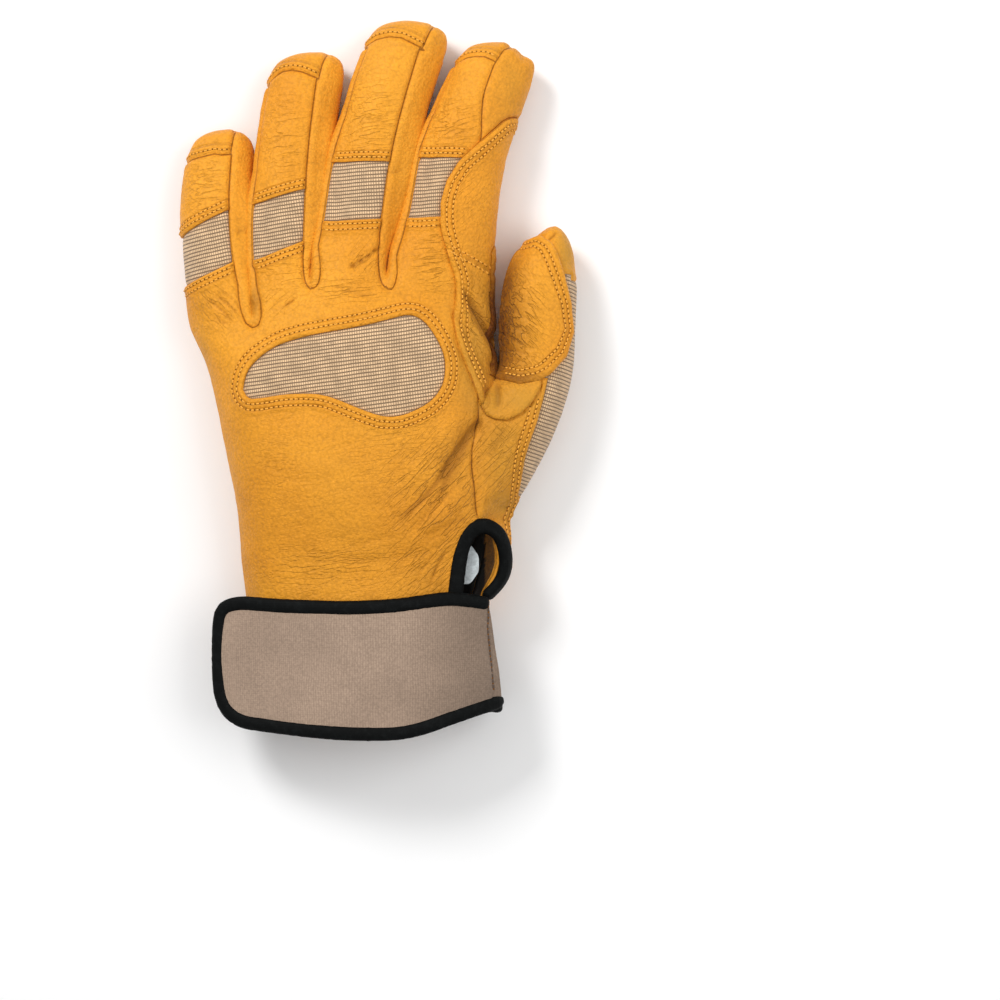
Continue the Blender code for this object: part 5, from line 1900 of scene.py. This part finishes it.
def strap_outline():
    """The strap's border in the plane: along the top to the free end, and back along the bottom."""
    top = [strap_place(along, high) for along, high, _ in STRAP_ROWS]
    bottom = [strap_place(along, low) for along, _, low in STRAP_ROWS]
    return even_line(smooth_line(top + bottom[::-1], 3), STRAP_PITCH)


def stepped_in(outline, distance):
    """The outline moved inwards, with the direction that it was moved in."""
    reach = 3
    moved = []
    for number, point in enumerate(outline):
        middle = min(max(number, reach), len(outline) - 1 - reach)
        along = (outline[middle + reach] - outline[middle - reach]).normalized()
        inward = Vector((-along.y, along.x))
        moved.append((point + inward * distance, inward))
    return moved


def make_strap(fabric, tape, stitches):
    """The strap's fabric, the tape round it, and its sewn line."""
    outline = strap_outline()
    frames = []
    for point, inward in stepped_in([slanted(p) for p in outline], BINDING_WIDTH / 2):
        centre, up = strap_frame(point.x, point.y)
        across = Vector((inward.x, inward.y, 0))
        frames.append((centre, (across - up * across.dot(up)).normalized(), up))
    sweep("strap_tape", frames, BINDING_WIDTH, tape, "strap_binding")
    seam = pixel_line(STRAP_SEAM)
    make_strap_fabric(outline, seam, fabric)
    line = even_line(seam, PALM_PITCH)
    for here, there in zip(line, line[1:]):
        centre, up = strap_frame(here.x, here.y)
        ahead, _ = strap_frame(there.x, there.y)
        surface = centre + up * (STRAP_WALL / 2 + STRAP_DOME - STRAP_STITCH_SINK)
        stitches.add(surface, (ahead - centre).normalized(), up, PALM_PITCH, STRAP_STITCH_LENGTH)


def make_strap_fabric(outline, seam, fabric):
    """The padded fabric inside the tape, as columns from the free end to the sewn one."""
    edge = [point for point, _ in stepped_in(outline, BINDING_WIDTH - STRAP_UNDER_TAPE)]
    turn = min(range(len(edge)), key=lambda n: edge[n].x)
    left = edge[turn].x
    sides = []
    for part in (edge[:turn + 1], edge[turn:]):
        part.sort(key=lambda p: p.x)
        sides.append(([p.x for p in part], [p.y for p in part]))
    right = min(xs[-1] for xs, _ in sides)
    seam_y, seam_x = [p.y for p in reversed(seam)], [p.x for p in reversed(seam)]
    tops, grooves = [], []
    for column in range(STRAP_COLUMNS + 1):
        share = column / STRAP_COLUMNS
        # The columns lie closer together towards the rounded free end.
        x = left + (right - left) * (share ** 1.5 * (1 - share) + share * share)
        high, low = (float(np.interp(x, xs, ys)) for xs, ys in sides)
        for lane in range(STRAP_LANES + 1):
            y = mix(high, low, lane / STRAP_LANES)
            place = slanted(Vector((x, y)))
            centre, up = strap_frame(*place)
            side = min(high - y, y - low)
            dome = STRAP_DOME * (1 - math.exp(-((side / STRAP_DOME_RISE) ** 2)))
            from_seam = place.x - float(np.interp(y, seam_y, seam_x))
            groove = GROOVE_DEPTH * math.exp(-((from_seam / GROOVE_WIDTH) ** 2))
            puff = sum(
                height * noise.noise(Vector((x * along, y * across, seed)))
                for height, along, across, seed in STRAP_PUFFS
            )
            tops.append(centre + up * (STRAP_WALL / 2 + dome + puff - groove))
            grooves.append(groove)
    bottoms = []
    for point in tops:
        centre, up = strap_frame(point.x, point.y)
        bottoms.append(centre - up * STRAP_WALL / 2)
    # The groove's depth also sets the painted shade in it.
    values = {"fold_shade": grooves + [0.0] * len(bottoms)}
    faces = slab_faces(STRAP_COLUMNS, STRAP_LANES)
    obj = write_mesh("strap_fabric", tops + bottoms, faces, [fabric], attributes=values)
    fix_normals(obj)
    place_piece(obj, "neoprene", "wrist_strap")


# The tab: points round it, how square it is, and the stitch row's place from the hole's edge to the tab's
TAB_COLUMNS = 144
TAB_CORNER_POWER = 7.0
TAB_STITCH_SHARE = 0.66
TAB_STITCH_POINTS = 300
TAB_STITCH_HEIGHT = 0.75
TAB_GROOVE = (0.46, 0.50)
TAB_ROWS = (
    # share from the hole's edge to the tab's edge, height over the tab's base as a share of its wall
    (0.00, 0.10), (0.03, 0.75), (0.10, 1.02), (0.30, 1.05), (0.42, 0.98), (0.46, 0.70), (0.50, 0.66),
    (0.60, 0.74), (0.80, 0.76), (0.93, 0.70), (0.98, 0.45), (1.00, 0.08),
)

# Distance from a seam that the paint reads on the tab: per share from an edge, in the groove, and on top
TAB_SEAM_SCALE = 8
TAB_SEAM_GROOVE = 0.6
TAB_SEAM_TOP = 0.5


def tab_point(turn, share):
    """A place between the clip hole's edge and the tab's edge, in the plane."""
    c, s = math.cos(turn), math.sin(turn)
    power = TAB_CORNER_POWER
    reach = 1 / (abs(c / (TAB_WIDTH / 2)) ** power + abs(s / (TAB_LENGTH / 2)) ** power) ** (1 / power)
    outer = Vector((c * reach, s * reach))
    hole = Vector((c * HOLE_WIDTH / 2, s * HOLE_LENGTH / 2))
    return tab_centre() + hole.lerp(outer, share)


def make_tab(paint, stitches):
    """The tab under the wrist: flat below, where it rests, with a raised ring round the clip hole."""
    top = TAB_WALL + CLEARANCE
    rows = []
    for share, height in TAB_ROWS:
        seam = TAB_SEAM_GROOVE if share in TAB_GROOVE else min(share, 1 - share) * TAB_SEAM_SCALE
        rows.append((share, top - height * TAB_WALL, seam))
    rows += [(1.0, top, TAB_SEAM_TOP), (0.0, top, TAB_SEAM_TOP)]
    points, seams, faces = [], [], []
    for row, (share, z, seam) in enumerate(rows):
        low = row * TAB_COLUMNS
        high = (row + 1) % len(rows) * TAB_COLUMNS
        for number in range(TAB_COLUMNS):
            flat = tab_point(2 * math.pi * number / TAB_COLUMNS, share)
            points.append(Vector((flat.x, flat.y, z)))
            seams.append(seam)
            after = (number + 1) % TAB_COLUMNS
            faces.append([low + number, low + after, high + after, high + number])
    lowest = min(p.z for p in points)
    points = [p - Vector((0, 0, lowest)) for p in points]
    none = [0.0] * len(points)
    values = {"seam": seams, "fold_shade": none, "khaki": none, "dirt_and_shade": none}
    obj = write_mesh("heel_tab_leather", points, faces, [paint], attributes=values, sharp=ROUND_SHARP)
    fix_normals(obj)
    place_piece(obj, "leather", "heel_tab")
    turns = [2 * math.pi * n / TAB_STITCH_POINTS for n in range(TAB_STITCH_POINTS + 1)]
    line = even_line([tab_point(turn, TAB_STITCH_SHARE) for turn in turns], PALM_PITCH)
    for here, there in zip(line, line[1:]):
        along = (there - here).normalized()
        surface = Vector((here.x, here.y, top - TAB_STITCH_HEIGHT * TAB_WALL - lowest))
        stitches.add(surface, Vector((along.x, along.y, 0)), Vector((0, 0, -1)), PALM_PITCH)


# The label: how round its corners are, its grid, and how it curls across and along
LABEL_ROUND = 0.34
LABEL_COLUMNS = 10
LABEL_ROWS = 14
LABEL_CURL_ACROSS = 0.25
LABEL_CURL_ALONG = 0.15
LABEL_CURL_TURN = 2.5


def make_label(paint):
    """The plain label inside the slit: a thin slip with a soft curl."""
    low, high = (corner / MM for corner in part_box("inner_label"))
    points = []
    for side in (1, 0):
        for row in range(LABEL_ROWS + 1):
            for column in range(LABEL_COLUMNS + 1):
                u, v = 2 * column / LABEL_COLUMNS - 1, 2 * row / LABEL_ROWS - 1
                curl = LABEL_CURL_ACROSS * math.cos(u * math.pi / 2)
                curl += LABEL_CURL_ALONG * math.sin(v * LABEL_CURL_TURN)
                round_u, round_v = u * (1 - LABEL_ROUND * v ** 4), v * (1 - LABEL_ROUND * u ** 4)
                points.append(Vector((
                    mix(low.x, high.x, (1 + round_u) / 2), mix(low.y, high.y, (1 + round_v) / 2),
                    mix(low.z, high.z, side) - curl,
                )))
    obj = write_mesh("label_slip", points, slab_faces(LABEL_ROWS, LABEL_COLUMNS), [paint])
    fix_normals(obj)
    place_piece(obj, "label", "inner_label")


# Colours, as light reflects from them
LEATHER_LIT = (0.780, 0.325, 0.022)
LEATHER_DEEP = (0.640, 0.228, 0.010)
LEATHER_KHAKI = (0.420, 0.235, 0.030)
DIRT_AND_SHADE_BROWN = (0.150, 0.041, 0.002)
SEAM_DIRT_AND_SHADE = (0.210, 0.070, 0.006)
LEATHER_INSIDE = (0.620, 0.300, 0.070)
KNIT_LIGHT = (0.830, 0.560, 0.320)
KNIT_DARK = (0.215, 0.135, 0.075)
NEOPRENE = (0.340, 0.245, 0.180)
NEOPRENE_DARK = (0.205, 0.142, 0.103)
TAPE_BLACK = (0.0030, 0.0036, 0.0036)
THREAD = (0.860, 0.400, 0.045)
STRAP_THREAD = (0.090, 0.060, 0.045)
NEEDLE_HOLE_SHADOW = (0.190, 0.066, 0.007)
LABEL_GREY = (0.520, 0.560, 0.570)
FLOOR_WHITE = (0.940, 0.940, 0.940)

# Pitches of the fabrics' threads, in millimetres: across and along where there are two
RIB_PITCH = 1.25
KNIT_PITCH = 0.82
NEOPRENE_PITCHES = (0.92, 0.70)
TAPE_PITCHES = (0.55, 0.55)
LABEL_PITCHES = (0.5, 0.6)

# The part of a noise's values that a mottle spreads, and how wide a line of it is
MOTTLE_RANGE = (0.3, 0.7)
LINE_WIDTH = 0.055

# The leather's grain and net of creases, in millimetres, and how much painted shade darkens the creases
GRAIN_SIZE = 0.95
NET_SIZE = 3.0
NET_SHARE = 0.09
CREASE_SHADE_SHARE = 0.34
STAIN_SHARE = 0.70

# How wide the trough of a stitch row is, and from where to where the leather beside the rows is puffed
TROUGH_WIDTH = 0.85
PUFF_SPAN = (0.6, 2.2)


class Paint:
    """One material, with short calls for its nodes. Places are in the part's frame, in millimetres."""

    def __init__(self, name, roughness):
        self.material = bpy.data.materials.new(name)
        self.material.use_nodes = True
        self.tree = self.material.node_tree
        self.shader = self.tree.nodes["Principled BSDF"]
        self.shader.inputs["Roughness"].default_value = roughness
        metres = self.tree.nodes.new("ShaderNodeTexCoord").outputs["Object"]
        scale = self.tree.nodes.new("ShaderNodeVectorMath")
        scale.operation = "SCALE"
        self.tree.links.new(metres, scale.inputs[0])
        scale.inputs["Scale"].default_value = 1 / MM
        self.place = scale.outputs[0]

    def put(self, socket, value):
        if isinstance(value, bpy.types.NodeSocket):
            self.tree.links.new(value, socket)
        elif isinstance(value, tuple) and len(value) == 3 and socket.type == "RGBA":
            socket.default_value = (*value, 1.0)
        else:
            socket.default_value = value

    def attribute(self, name):
        node = self.tree.nodes.new("ShaderNodeAttribute")
        node.attribute_name = name
        return node.outputs["Fac"]

    def noise(self, size, detail=3.0, roughness=0.55, stretch=(1, 1, 1), degrees=0.0):
        """Noise with features of this size, in millimetres, stretched along a direction in the plane."""
        place = self.place
        if degrees:
            turned = self.tree.nodes.new("ShaderNodeVectorRotate")
            turned.rotation_type = "Z_AXIS"
            turned.inputs["Angle"].default_value = -math.radians(degrees)
            self.tree.links.new(place, turned.inputs["Vector"])
            place = turned.outputs[0]
        scaled = self.tree.nodes.new("ShaderNodeMapping")
        self.tree.links.new(place, scaled.inputs["Vector"])
        scaled.inputs["Scale"].default_value = tuple(1 / (size * s) for s in stretch)
        node = self.tree.nodes.new("ShaderNodeTexNoise")
        self.tree.links.new(scaled.outputs[0], node.inputs["Vector"])
        node.inputs["Scale"].default_value = 1.0
        node.inputs["Detail"].default_value = detail
        node.inputs["Roughness"].default_value = roughness
        return node.outputs["Fac"]

    def thin_lines(self, value):
        """1 on the thin lines where the noise passes its middle, and 0 between them."""
        away = self.math("ABSOLUTE", self.math("SUBTRACT", value, 0.5))
        return self.ramp(away, 0.0, LINE_WIDTH, 1.0, 0.0)

    def cells(self, size):
        """Distance to the middle of grain cells of about this size, in millimetres."""
        node = self.tree.nodes.new("ShaderNodeTexVoronoi")
        node.feature = "SMOOTH_F1"
        self.tree.links.new(self.place, node.inputs["Vector"])
        node.inputs["Scale"].default_value = 1 / size
        return node.outputs["Distance"]

    def axis(self, number):
        node = self.tree.nodes.new("ShaderNodeSeparateXYZ")
        self.tree.links.new(self.place, node.inputs[0])
        return node.outputs[number]

    def math(self, operation, a, b=0.0):
        node = self.tree.nodes.new("ShaderNodeMath")
        node.operation = operation
        self.put(node.inputs[0], a)
        self.put(node.inputs[1], b)
        return node.outputs[0]

    def ramp(self, value, low, high, start=0.0, end=1.0):
        """A smooth step of the value, from start at low to end at high."""
        node = self.tree.nodes.new("ShaderNodeMapRange")
        node.interpolation_type = "SMOOTHSTEP"
        for number, one in enumerate((value, low, high, start, end)):
            self.put(node.inputs[number], one)
        return node.outputs[0]

    def times(self, a, b):
        return self.math("MULTIPLY", a, b)

    def mottle(self, start, end, size, detail=3.0, roughness=0.55, stretch=(1, 1, 1)):
        """Noise with features of this size, spread from start to end."""
        return self.ramp(self.noise(size, detail, roughness, stretch), *MOTTLE_RANGE, start, end)

    def weave(self, across, along):
        """Where two sets of threads with these pitches cross."""
        return self.times(self.waves(self.axis(0), across), self.waves(self.axis(1), along))

    def mix(self, share, a, b):
        node = self.tree.nodes.new("ShaderNodeMix")
        node.data_type = "RGBA"
        self.put(node.inputs["Factor"], share)
        self.put(node.inputs[6], a)
        self.put(node.inputs[7], b)
        return node.outputs[2]

    def shade(self, colour, amount):
        """The colour, made lighter or darker by this factor."""
        node = self.tree.nodes.new("ShaderNodeHueSaturation")
        self.put(node.inputs["Value"], amount)
        self.put(node.inputs["Color"], colour)
        return node.outputs[0]

    def waves(self, value, pitch):
        """0 to 1 and back, once in each pitch."""
        sine = self.math("SINE", self.times(value, 2 * math.pi / pitch))
        return self.math("ADD", self.times(sine, 0.5), 0.5)

    def bump(self, height, distance, strength=1.0, after=None):
        node = self.tree.nodes.new("ShaderNodeBump")
        self.put(node.inputs["Height"], height)
        node.inputs["Distance"].default_value = distance * MM
        node.inputs["Strength"].default_value = strength
        if after is not None:
            self.tree.links.new(after, node.inputs["Normal"])
        return node.outputs[0]

    def finish(self, colour, normal=None, sheen=0.0, sheen_roughness=0.5, specular=0.5):
        self.put(self.shader.inputs["Base Color"], colour)
        if normal is not None:
            self.tree.links.new(normal, self.shader.inputs["Normal"])
        self.shader.inputs["Sheen Weight"].default_value = sheen
        self.shader.inputs["Sheen Roughness"].default_value = sheen_roughness
        self.shader.inputs["Specular IOR Level"].default_value = specular
        return self.material


# Creases in worn leather, darkened with painted shade: mask, direction from across the hand in degrees, size
# and stretch along each line
CREASES = (
    # mask, degrees, size in millimetres, stretch
    ("worn_rising", 44.0, 2.6, 6.5),
    ("worn_level", 6.0, 2.2, 5.5),
    ("worn_falling", -42.0, 2.0, 6.0),
)


def crease_lines(paint):
    """Fine lines in the worn directions, and a faint net of them everywhere."""
    total = paint.times(paint.thin_lines(paint.noise(NET_SIZE, 3.0, 0.6)), NET_SHARE)
    for mask, degrees, size, stretch in CREASES:
        lines = paint.thin_lines(paint.noise(size, 2.0, 0.5, (stretch, 1.0, 1.0), degrees))
        total = paint.math("MAXIMUM", total, paint.times(lines, paint.attribute(mask)))
    return total


def seam_rows(paint):
    """Troughs along the two stitch rows, and the leather beside them, from the distance to the sewn seam."""
    sewn = paint.attribute("sewn")
    last = ROW_START + ROW_STEP
    rows = []
    for place in (ROW_START, last):
        away = paint.math("ABSOLUTE", paint.math("SUBTRACT", sewn, place))
        rows.append(paint.ramp(away, 0.0, TROUGH_WIDTH, 1.0, 0.0))
    near, far = PUFF_SPAN
    return paint.math("ADD", *rows), paint.ramp(sewn, last + near, last + far, 1.0, 0.0)


def leather_paint():
    """Golden leather: broad tones, streaks, grain, stains, dirt, and painted shade in its creases, sunk seams
    and stitch rows.
    """
    paint = Paint("golden_leather", 0.55)
    broad = paint.ramp(paint.noise(40.0, 2.0), 0.30, 0.75, 0.0, 0.55)
    colour = paint.mix(broad, LEATHER_LIT, LEATHER_DEEP)
    colour = paint.shade(colour, paint.mottle(0.965, 1.03, 7.0, 2.0, 0.5, (1.6, 1.0, 1.0)))
    cells = paint.cells(GRAIN_SIZE)
    grain = paint.times(paint.ramp(cells, 0.28, 0.72, 1.04, 0.90), paint.mottle(0.93, 1.06, 0.8, 2.0, 0.6))
    colour = paint.shade(colour, grain)
    # Darker towards the wrist.
    colour = paint.shade(colour, paint.ramp(paint.axis(1), -50.0, 60.0, 0.90, 1.0))
    lines = crease_lines(paint)
    # Painted shade in the fine crease lines.
    colour = paint.mix(paint.times(lines, CREASE_SHADE_SHARE), colour, paint.shade(LEATHER_DEEP, 0.45))
    # Painted shade in the folds and in the wrinkles' valleys.
    fold_shade = paint.ramp(paint.attribute("fold_shade"), 0.10, 1.30, 0.0, 0.75)
    colour = paint.mix(fold_shade, colour, paint.shade(LEATHER_DEEP, 0.50))
    colour = paint.mix(paint.times(paint.attribute("khaki"), STAIN_SHARE), colour, LEATHER_KHAKI)
    # Dark brown dirt, and painted shade where the thumb pad turns away from the light.
    dirt_and_shade = paint.times(paint.attribute("dirt_and_shade"), paint.mottle(0.84, 1.0, 1.9))
    colour = paint.mix(dirt_and_shade, colour, DIRT_AND_SHADE_BROWN)
    troughs, beside = seam_rows(paint)
    # Painted shade in the stitch rows' troughs.
    colour = paint.mix(paint.times(troughs, 0.30), colour, paint.shade(LEATHER_DEEP, 0.62))
    # Painted shade, with some grime, along the turned seams.
    colour = paint.mix(paint.ramp(paint.attribute("seam"), 0.05, 0.40, 0.72, 0.0), colour, SEAM_DIRT_AND_SHADE)
    normal = paint.bump(paint.times(cells, -1.0), 0.24, 0.9)
    normal = paint.bump(paint.noise(1.3, 3.0, 0.6), 0.17, 0.8, normal)
    normal = paint.bump(paint.noise(6.0, 2.0, 0.45, (1.5, 0.8, 1.0)), 0.60, 0.6, normal)
    normal = paint.bump(paint.times(lines, -1.0), 0.55, 1.0, normal)
    puffs = paint.times(paint.times(paint.noise(2.1, 2.0), beside), 1.6)
    normal = paint.bump(paint.math("SUBTRACT", puffs, troughs), 0.34, 1.0, normal)
    return paint.finish(colour, normal, sheen=0.04, specular=0.18)


def inside_paint():
    """The leather's rough side, and the dark lining and painted shade beside the slit."""
    paint = Paint("leather_flesh_side", 0.9)
    nap = paint.mottle(0.7, 1.15, 0.7, 3.0, 0.7)
    colour = paint.mix(paint.attribute("lining_and_shade"), paint.shade(LEATHER_INSIDE, nap), TAPE_BLACK)
    normal = paint.bump(paint.noise(0.6, 3.0, 0.7), 0.15, 0.7)
    return paint.finish(colour, normal, sheen=0.3, sheen_roughness=0.6, specular=0.2)


def stretch_paint():
    """Ribbed knit: pale ridges with small knobs, dark between them, and a painted shadow along the leather's
    edge.
    """
    paint = Paint("ribbed_stretch_fabric", 0.88)
    wander = paint.times(paint.noise(9.0, 2.0), 0.5)
    rib = paint.waves(paint.math("ADD", paint.attribute("rib"), wander), RIB_PITCH)
    knob = paint.waves(paint.attribute("column"), KNIT_PITCH)
    body = paint.times(paint.ramp(rib, 0.02, 0.42), paint.ramp(knob, 0.0, 0.8, 0.42, 1.0))
    light = paint.shade(KNIT_LIGHT, paint.mottle(0.82, 1.12, 4.0))
    colour = paint.mix(body, KNIT_DARK, light)
    # Painted shadow along the edge of the leather that covers the fabric.
    shadow = paint.ramp(paint.attribute("under"), 0.1, 0.7, 0.60, 0.0)
    colour = paint.mix(shadow, colour, KNIT_DARK)
    return paint.finish(colour, paint.bump(body, 0.42, 0.9), sheen=0.25, specular=0.2)


# Half the cuff's width and the height of its top, in millimetres, for the knit that runs round its sides
CUFF_HALF = 40.0
CUFF_TOP = 37.5


def neoprene_paint():
    """Knitted fabric over padding, its columns running round the cuff's sides, with painted shade in the sewn
    groove and to the right.
    """
    paint = Paint("knitted_neoprene", 0.92)
    x, y, z = (paint.axis(number) for number in range(3))
    side = paint.math("MINIMUM", paint.times(x, 1 / CUFF_HALF), 1.0)
    side = paint.math("MAXIMUM", side, -1.0)
    around = paint.math("ADD", x, paint.times(side, paint.math("SUBTRACT", CUFF_TOP, z)))
    across, along = NEOPRENE_PITCHES
    column = paint.waves(paint.math("ADD", around, paint.noise(7.0, 1.0)), across)
    row = paint.waves(y, along)
    thread = paint.times(paint.ramp(column, 0.0, 0.6, 0.66, 1.0), paint.ramp(row, 0.0, 0.6, 0.84, 1.0))
    light = paint.shade(NEOPRENE, paint.mottle(0.84, 1.14, 0.8, 2.0, 0.7))
    light = paint.shade(light, paint.mottle(0.90, 1.06, 26.0, 2.0))
    colour = paint.mix(thread, NEOPRENE_DARK, light)
    # Painted shade in the strap's sewn groove.
    groove = paint.ramp(paint.attribute("fold_shade"), 0.15, 0.45, 0.0, 0.55)
    colour = paint.mix(groove, colour, NEOPRENE_DARK)
    # Painted shade, darker to the right, where the light falls off round the cuff's side.
    colour = paint.shade(colour, paint.ramp(x, 0.0, 42.0, 1.08, 0.68))
    return paint.finish(colour, paint.bump(thread, 0.12, 0.7), sheen=0.2, specular=0.15)


def tape_paint():
    """Black woven tape, a little dusty."""
    paint = Paint("black_binding_tape", 0.62)
    dust = paint.ramp(paint.noise(2.2, 4.0, 0.7), 0.45, 0.75, 0.75, 1.9)
    normal = paint.bump(paint.math("ADD", paint.weave(*TAPE_PITCHES), paint.noise(1.2, 3.0)), 0.10, 0.5)
    return paint.finish(paint.shade(TAPE_BLACK, dust), normal, sheen_roughness=0.4, specular=0.08)


def thread_paint(name, colour):
    paint = Paint(name, 0.6)
    twist = paint.mottle(0.8, 1.15, 0.35, 2.0)
    normal = paint.bump(paint.noise(0.3, 2.0), 0.05, 0.5)
    return paint.finish(paint.shade(colour, twist), normal, sheen=0.1, specular=0.3)


# The painted shadow in the needle holes.
def hole_shadow_paint():
    paint = Paint("needle_hole_shadow", 0.9)
    return paint.finish(paint.shade(NEEDLE_HOLE_SHADOW, paint.mottle(0.7, 1.2, 0.6, 2.0)), specular=0.1)


def label_paint():
    paint = Paint("woven_label", 0.85)
    colour = paint.shade(LABEL_GREY, paint.mottle(0.72, 1.1, 1.6, 4.0, 0.7))
    return paint.finish(colour, paint.bump(paint.weave(*LABEL_PITCHES), 0.08, 0.6), sheen=0.2, specular=0.2)


def floor_paint():
    paint = Paint("pale_floor", 0.8)
    return paint.finish(paint.shade(FLOOR_WHITE, paint.mottle(0.99, 1.01, 60.0, 2.0)))


def skin_panels():
    """The skin on its fine grid, split into panels."""
    cage = hand_cage()
    skin = smooth_surface(cage)
    settle(skin)
    recut_panels(skin, cage)
    recut_seams(skin, cage)
    open_wrist_hole(skin, cage)
    round_slit(skin)
    draw_in_side(skin)
    draw_up_thumb(skin)
    loose = [v for v in skin.verts if not v.link_faces]
    bmesh.ops.delete(skin, geom=loose, context="VERTS")
    skin.verts.index_update()
    skin.normal_update()
    groups = {}
    for face in skin.faces:
        groups.setdefault(cage.names[face.material_index], []).append(face)
    panels = [Panel(name, faces, lambda f: cage.names[f.material_index]) for name, faces in groups.items()]
    return skin, panels


# Camera over the pair's middle, as in the photograph, looking straight down
CAMERA_SPAN = 0.350
CAMERA_CENTRE_PIXEL = (500, 500)
CAMERA_LENS = 135
CAMERA_SENSOR = 36
CAMERA_AIM_HEIGHT = 0.016

# Lights that aim at the part's origin: name, place and size in metres, and power
LIGHTS = (
    ("key", (-0.50, 0.62, 0.80), 0.34, 7.7),
    ("fill", (0.70, 0.10, 0.80), 0.80, 4.4),
    ("top", (0.00, 0.00, 1.20), 1.20, 3.2),
)
WORLD_STRENGTH = 0.40

# The floor: half its side in millimetres, and how far it lies below the part in metres
FLOOR_HALF = 3000.0
FLOOR_DROP = 0.0002


def make_stage():
    """The camera, the lights, the sky and the floor."""
    scene = bpy.context.scene
    scene.view_settings.view_transform = "Standard"
    centre = at_pixel(*CAMERA_CENTRE_PIXEL) * MM
    camera = bpy.data.objects.new("camera", bpy.data.cameras.new("camera"))
    camera.data.lens = CAMERA_LENS
    camera.data.sensor_width = CAMERA_SENSOR
    camera.location = (centre.x, centre.y, CAMERA_AIM_HEIGHT + CAMERA_SPAN * CAMERA_LENS / CAMERA_SENSOR)
    scene.collection.objects.link(camera)
    scene.camera = camera
    for name, place, size, power in LIGHTS:
        lamp = bpy.data.lights.new(name, "AREA")
        lamp.size = size
        lamp.energy = power
        obj = bpy.data.objects.new(name, lamp)
        obj.location = place
        obj.rotation_euler = (Vector() - Vector(place)).to_track_quat("-Z", "Y").to_euler()
        scene.collection.objects.link(obj)
    world = bpy.data.worlds.new("studio")
    world.use_nodes = True
    sky = world.node_tree.nodes["Background"].inputs
    sky["Color"].default_value = (1.0, 1.0, 1.0, 1.0)
    sky["Strength"].default_value = WORLD_STRENGTH
    scene.world = world
    corners = [(x * FLOOR_HALF, y * FLOOR_HALF, 0) for x, y in ((-1, -1), (1, -1), (1, 1), (-1, 1))]
    floor = write_mesh("floor", corners, [(0, 1, 2, 3)], [floor_paint()])
    floor.location.z = -FLOOR_DROP


def main():
    make_stage()
    skin, panels = skin_panels()
    leather, inside = leather_paint(), inside_paint()
    stretch, neoprene, tape = stretch_paint(), neoprene_paint(), tape_paint()
    outsides = {"leather": leather, "stretch_fabric": stretch, "neoprene": neoprene}
    stitches, strap_stitches = Stitches(), Stitches()
    for panel in panels:
        panel.shape_edges()
        make_panel(panel, [outsides[panel_slot(panel.name)], inside], wrinkle_field(panel.rest))
        sew_beside(panel, stitches)
        sew_across(panel, stitches)
    make_bindings(skin, tape)
    make_strap(neoprene, tape, strap_stitches)
    make_tab(leather, stitches)
    make_label(label_paint())
    golden, dark = thread_paint("golden_thread", THREAD), thread_paint("dark_thread", STRAP_THREAD)
    stitches.write("stitching", golden, hole_shadow_paint(), "leather")
    strap_stitches.write("strap_stitching", dark, hole_shadow_paint(), "neoprene")


main()
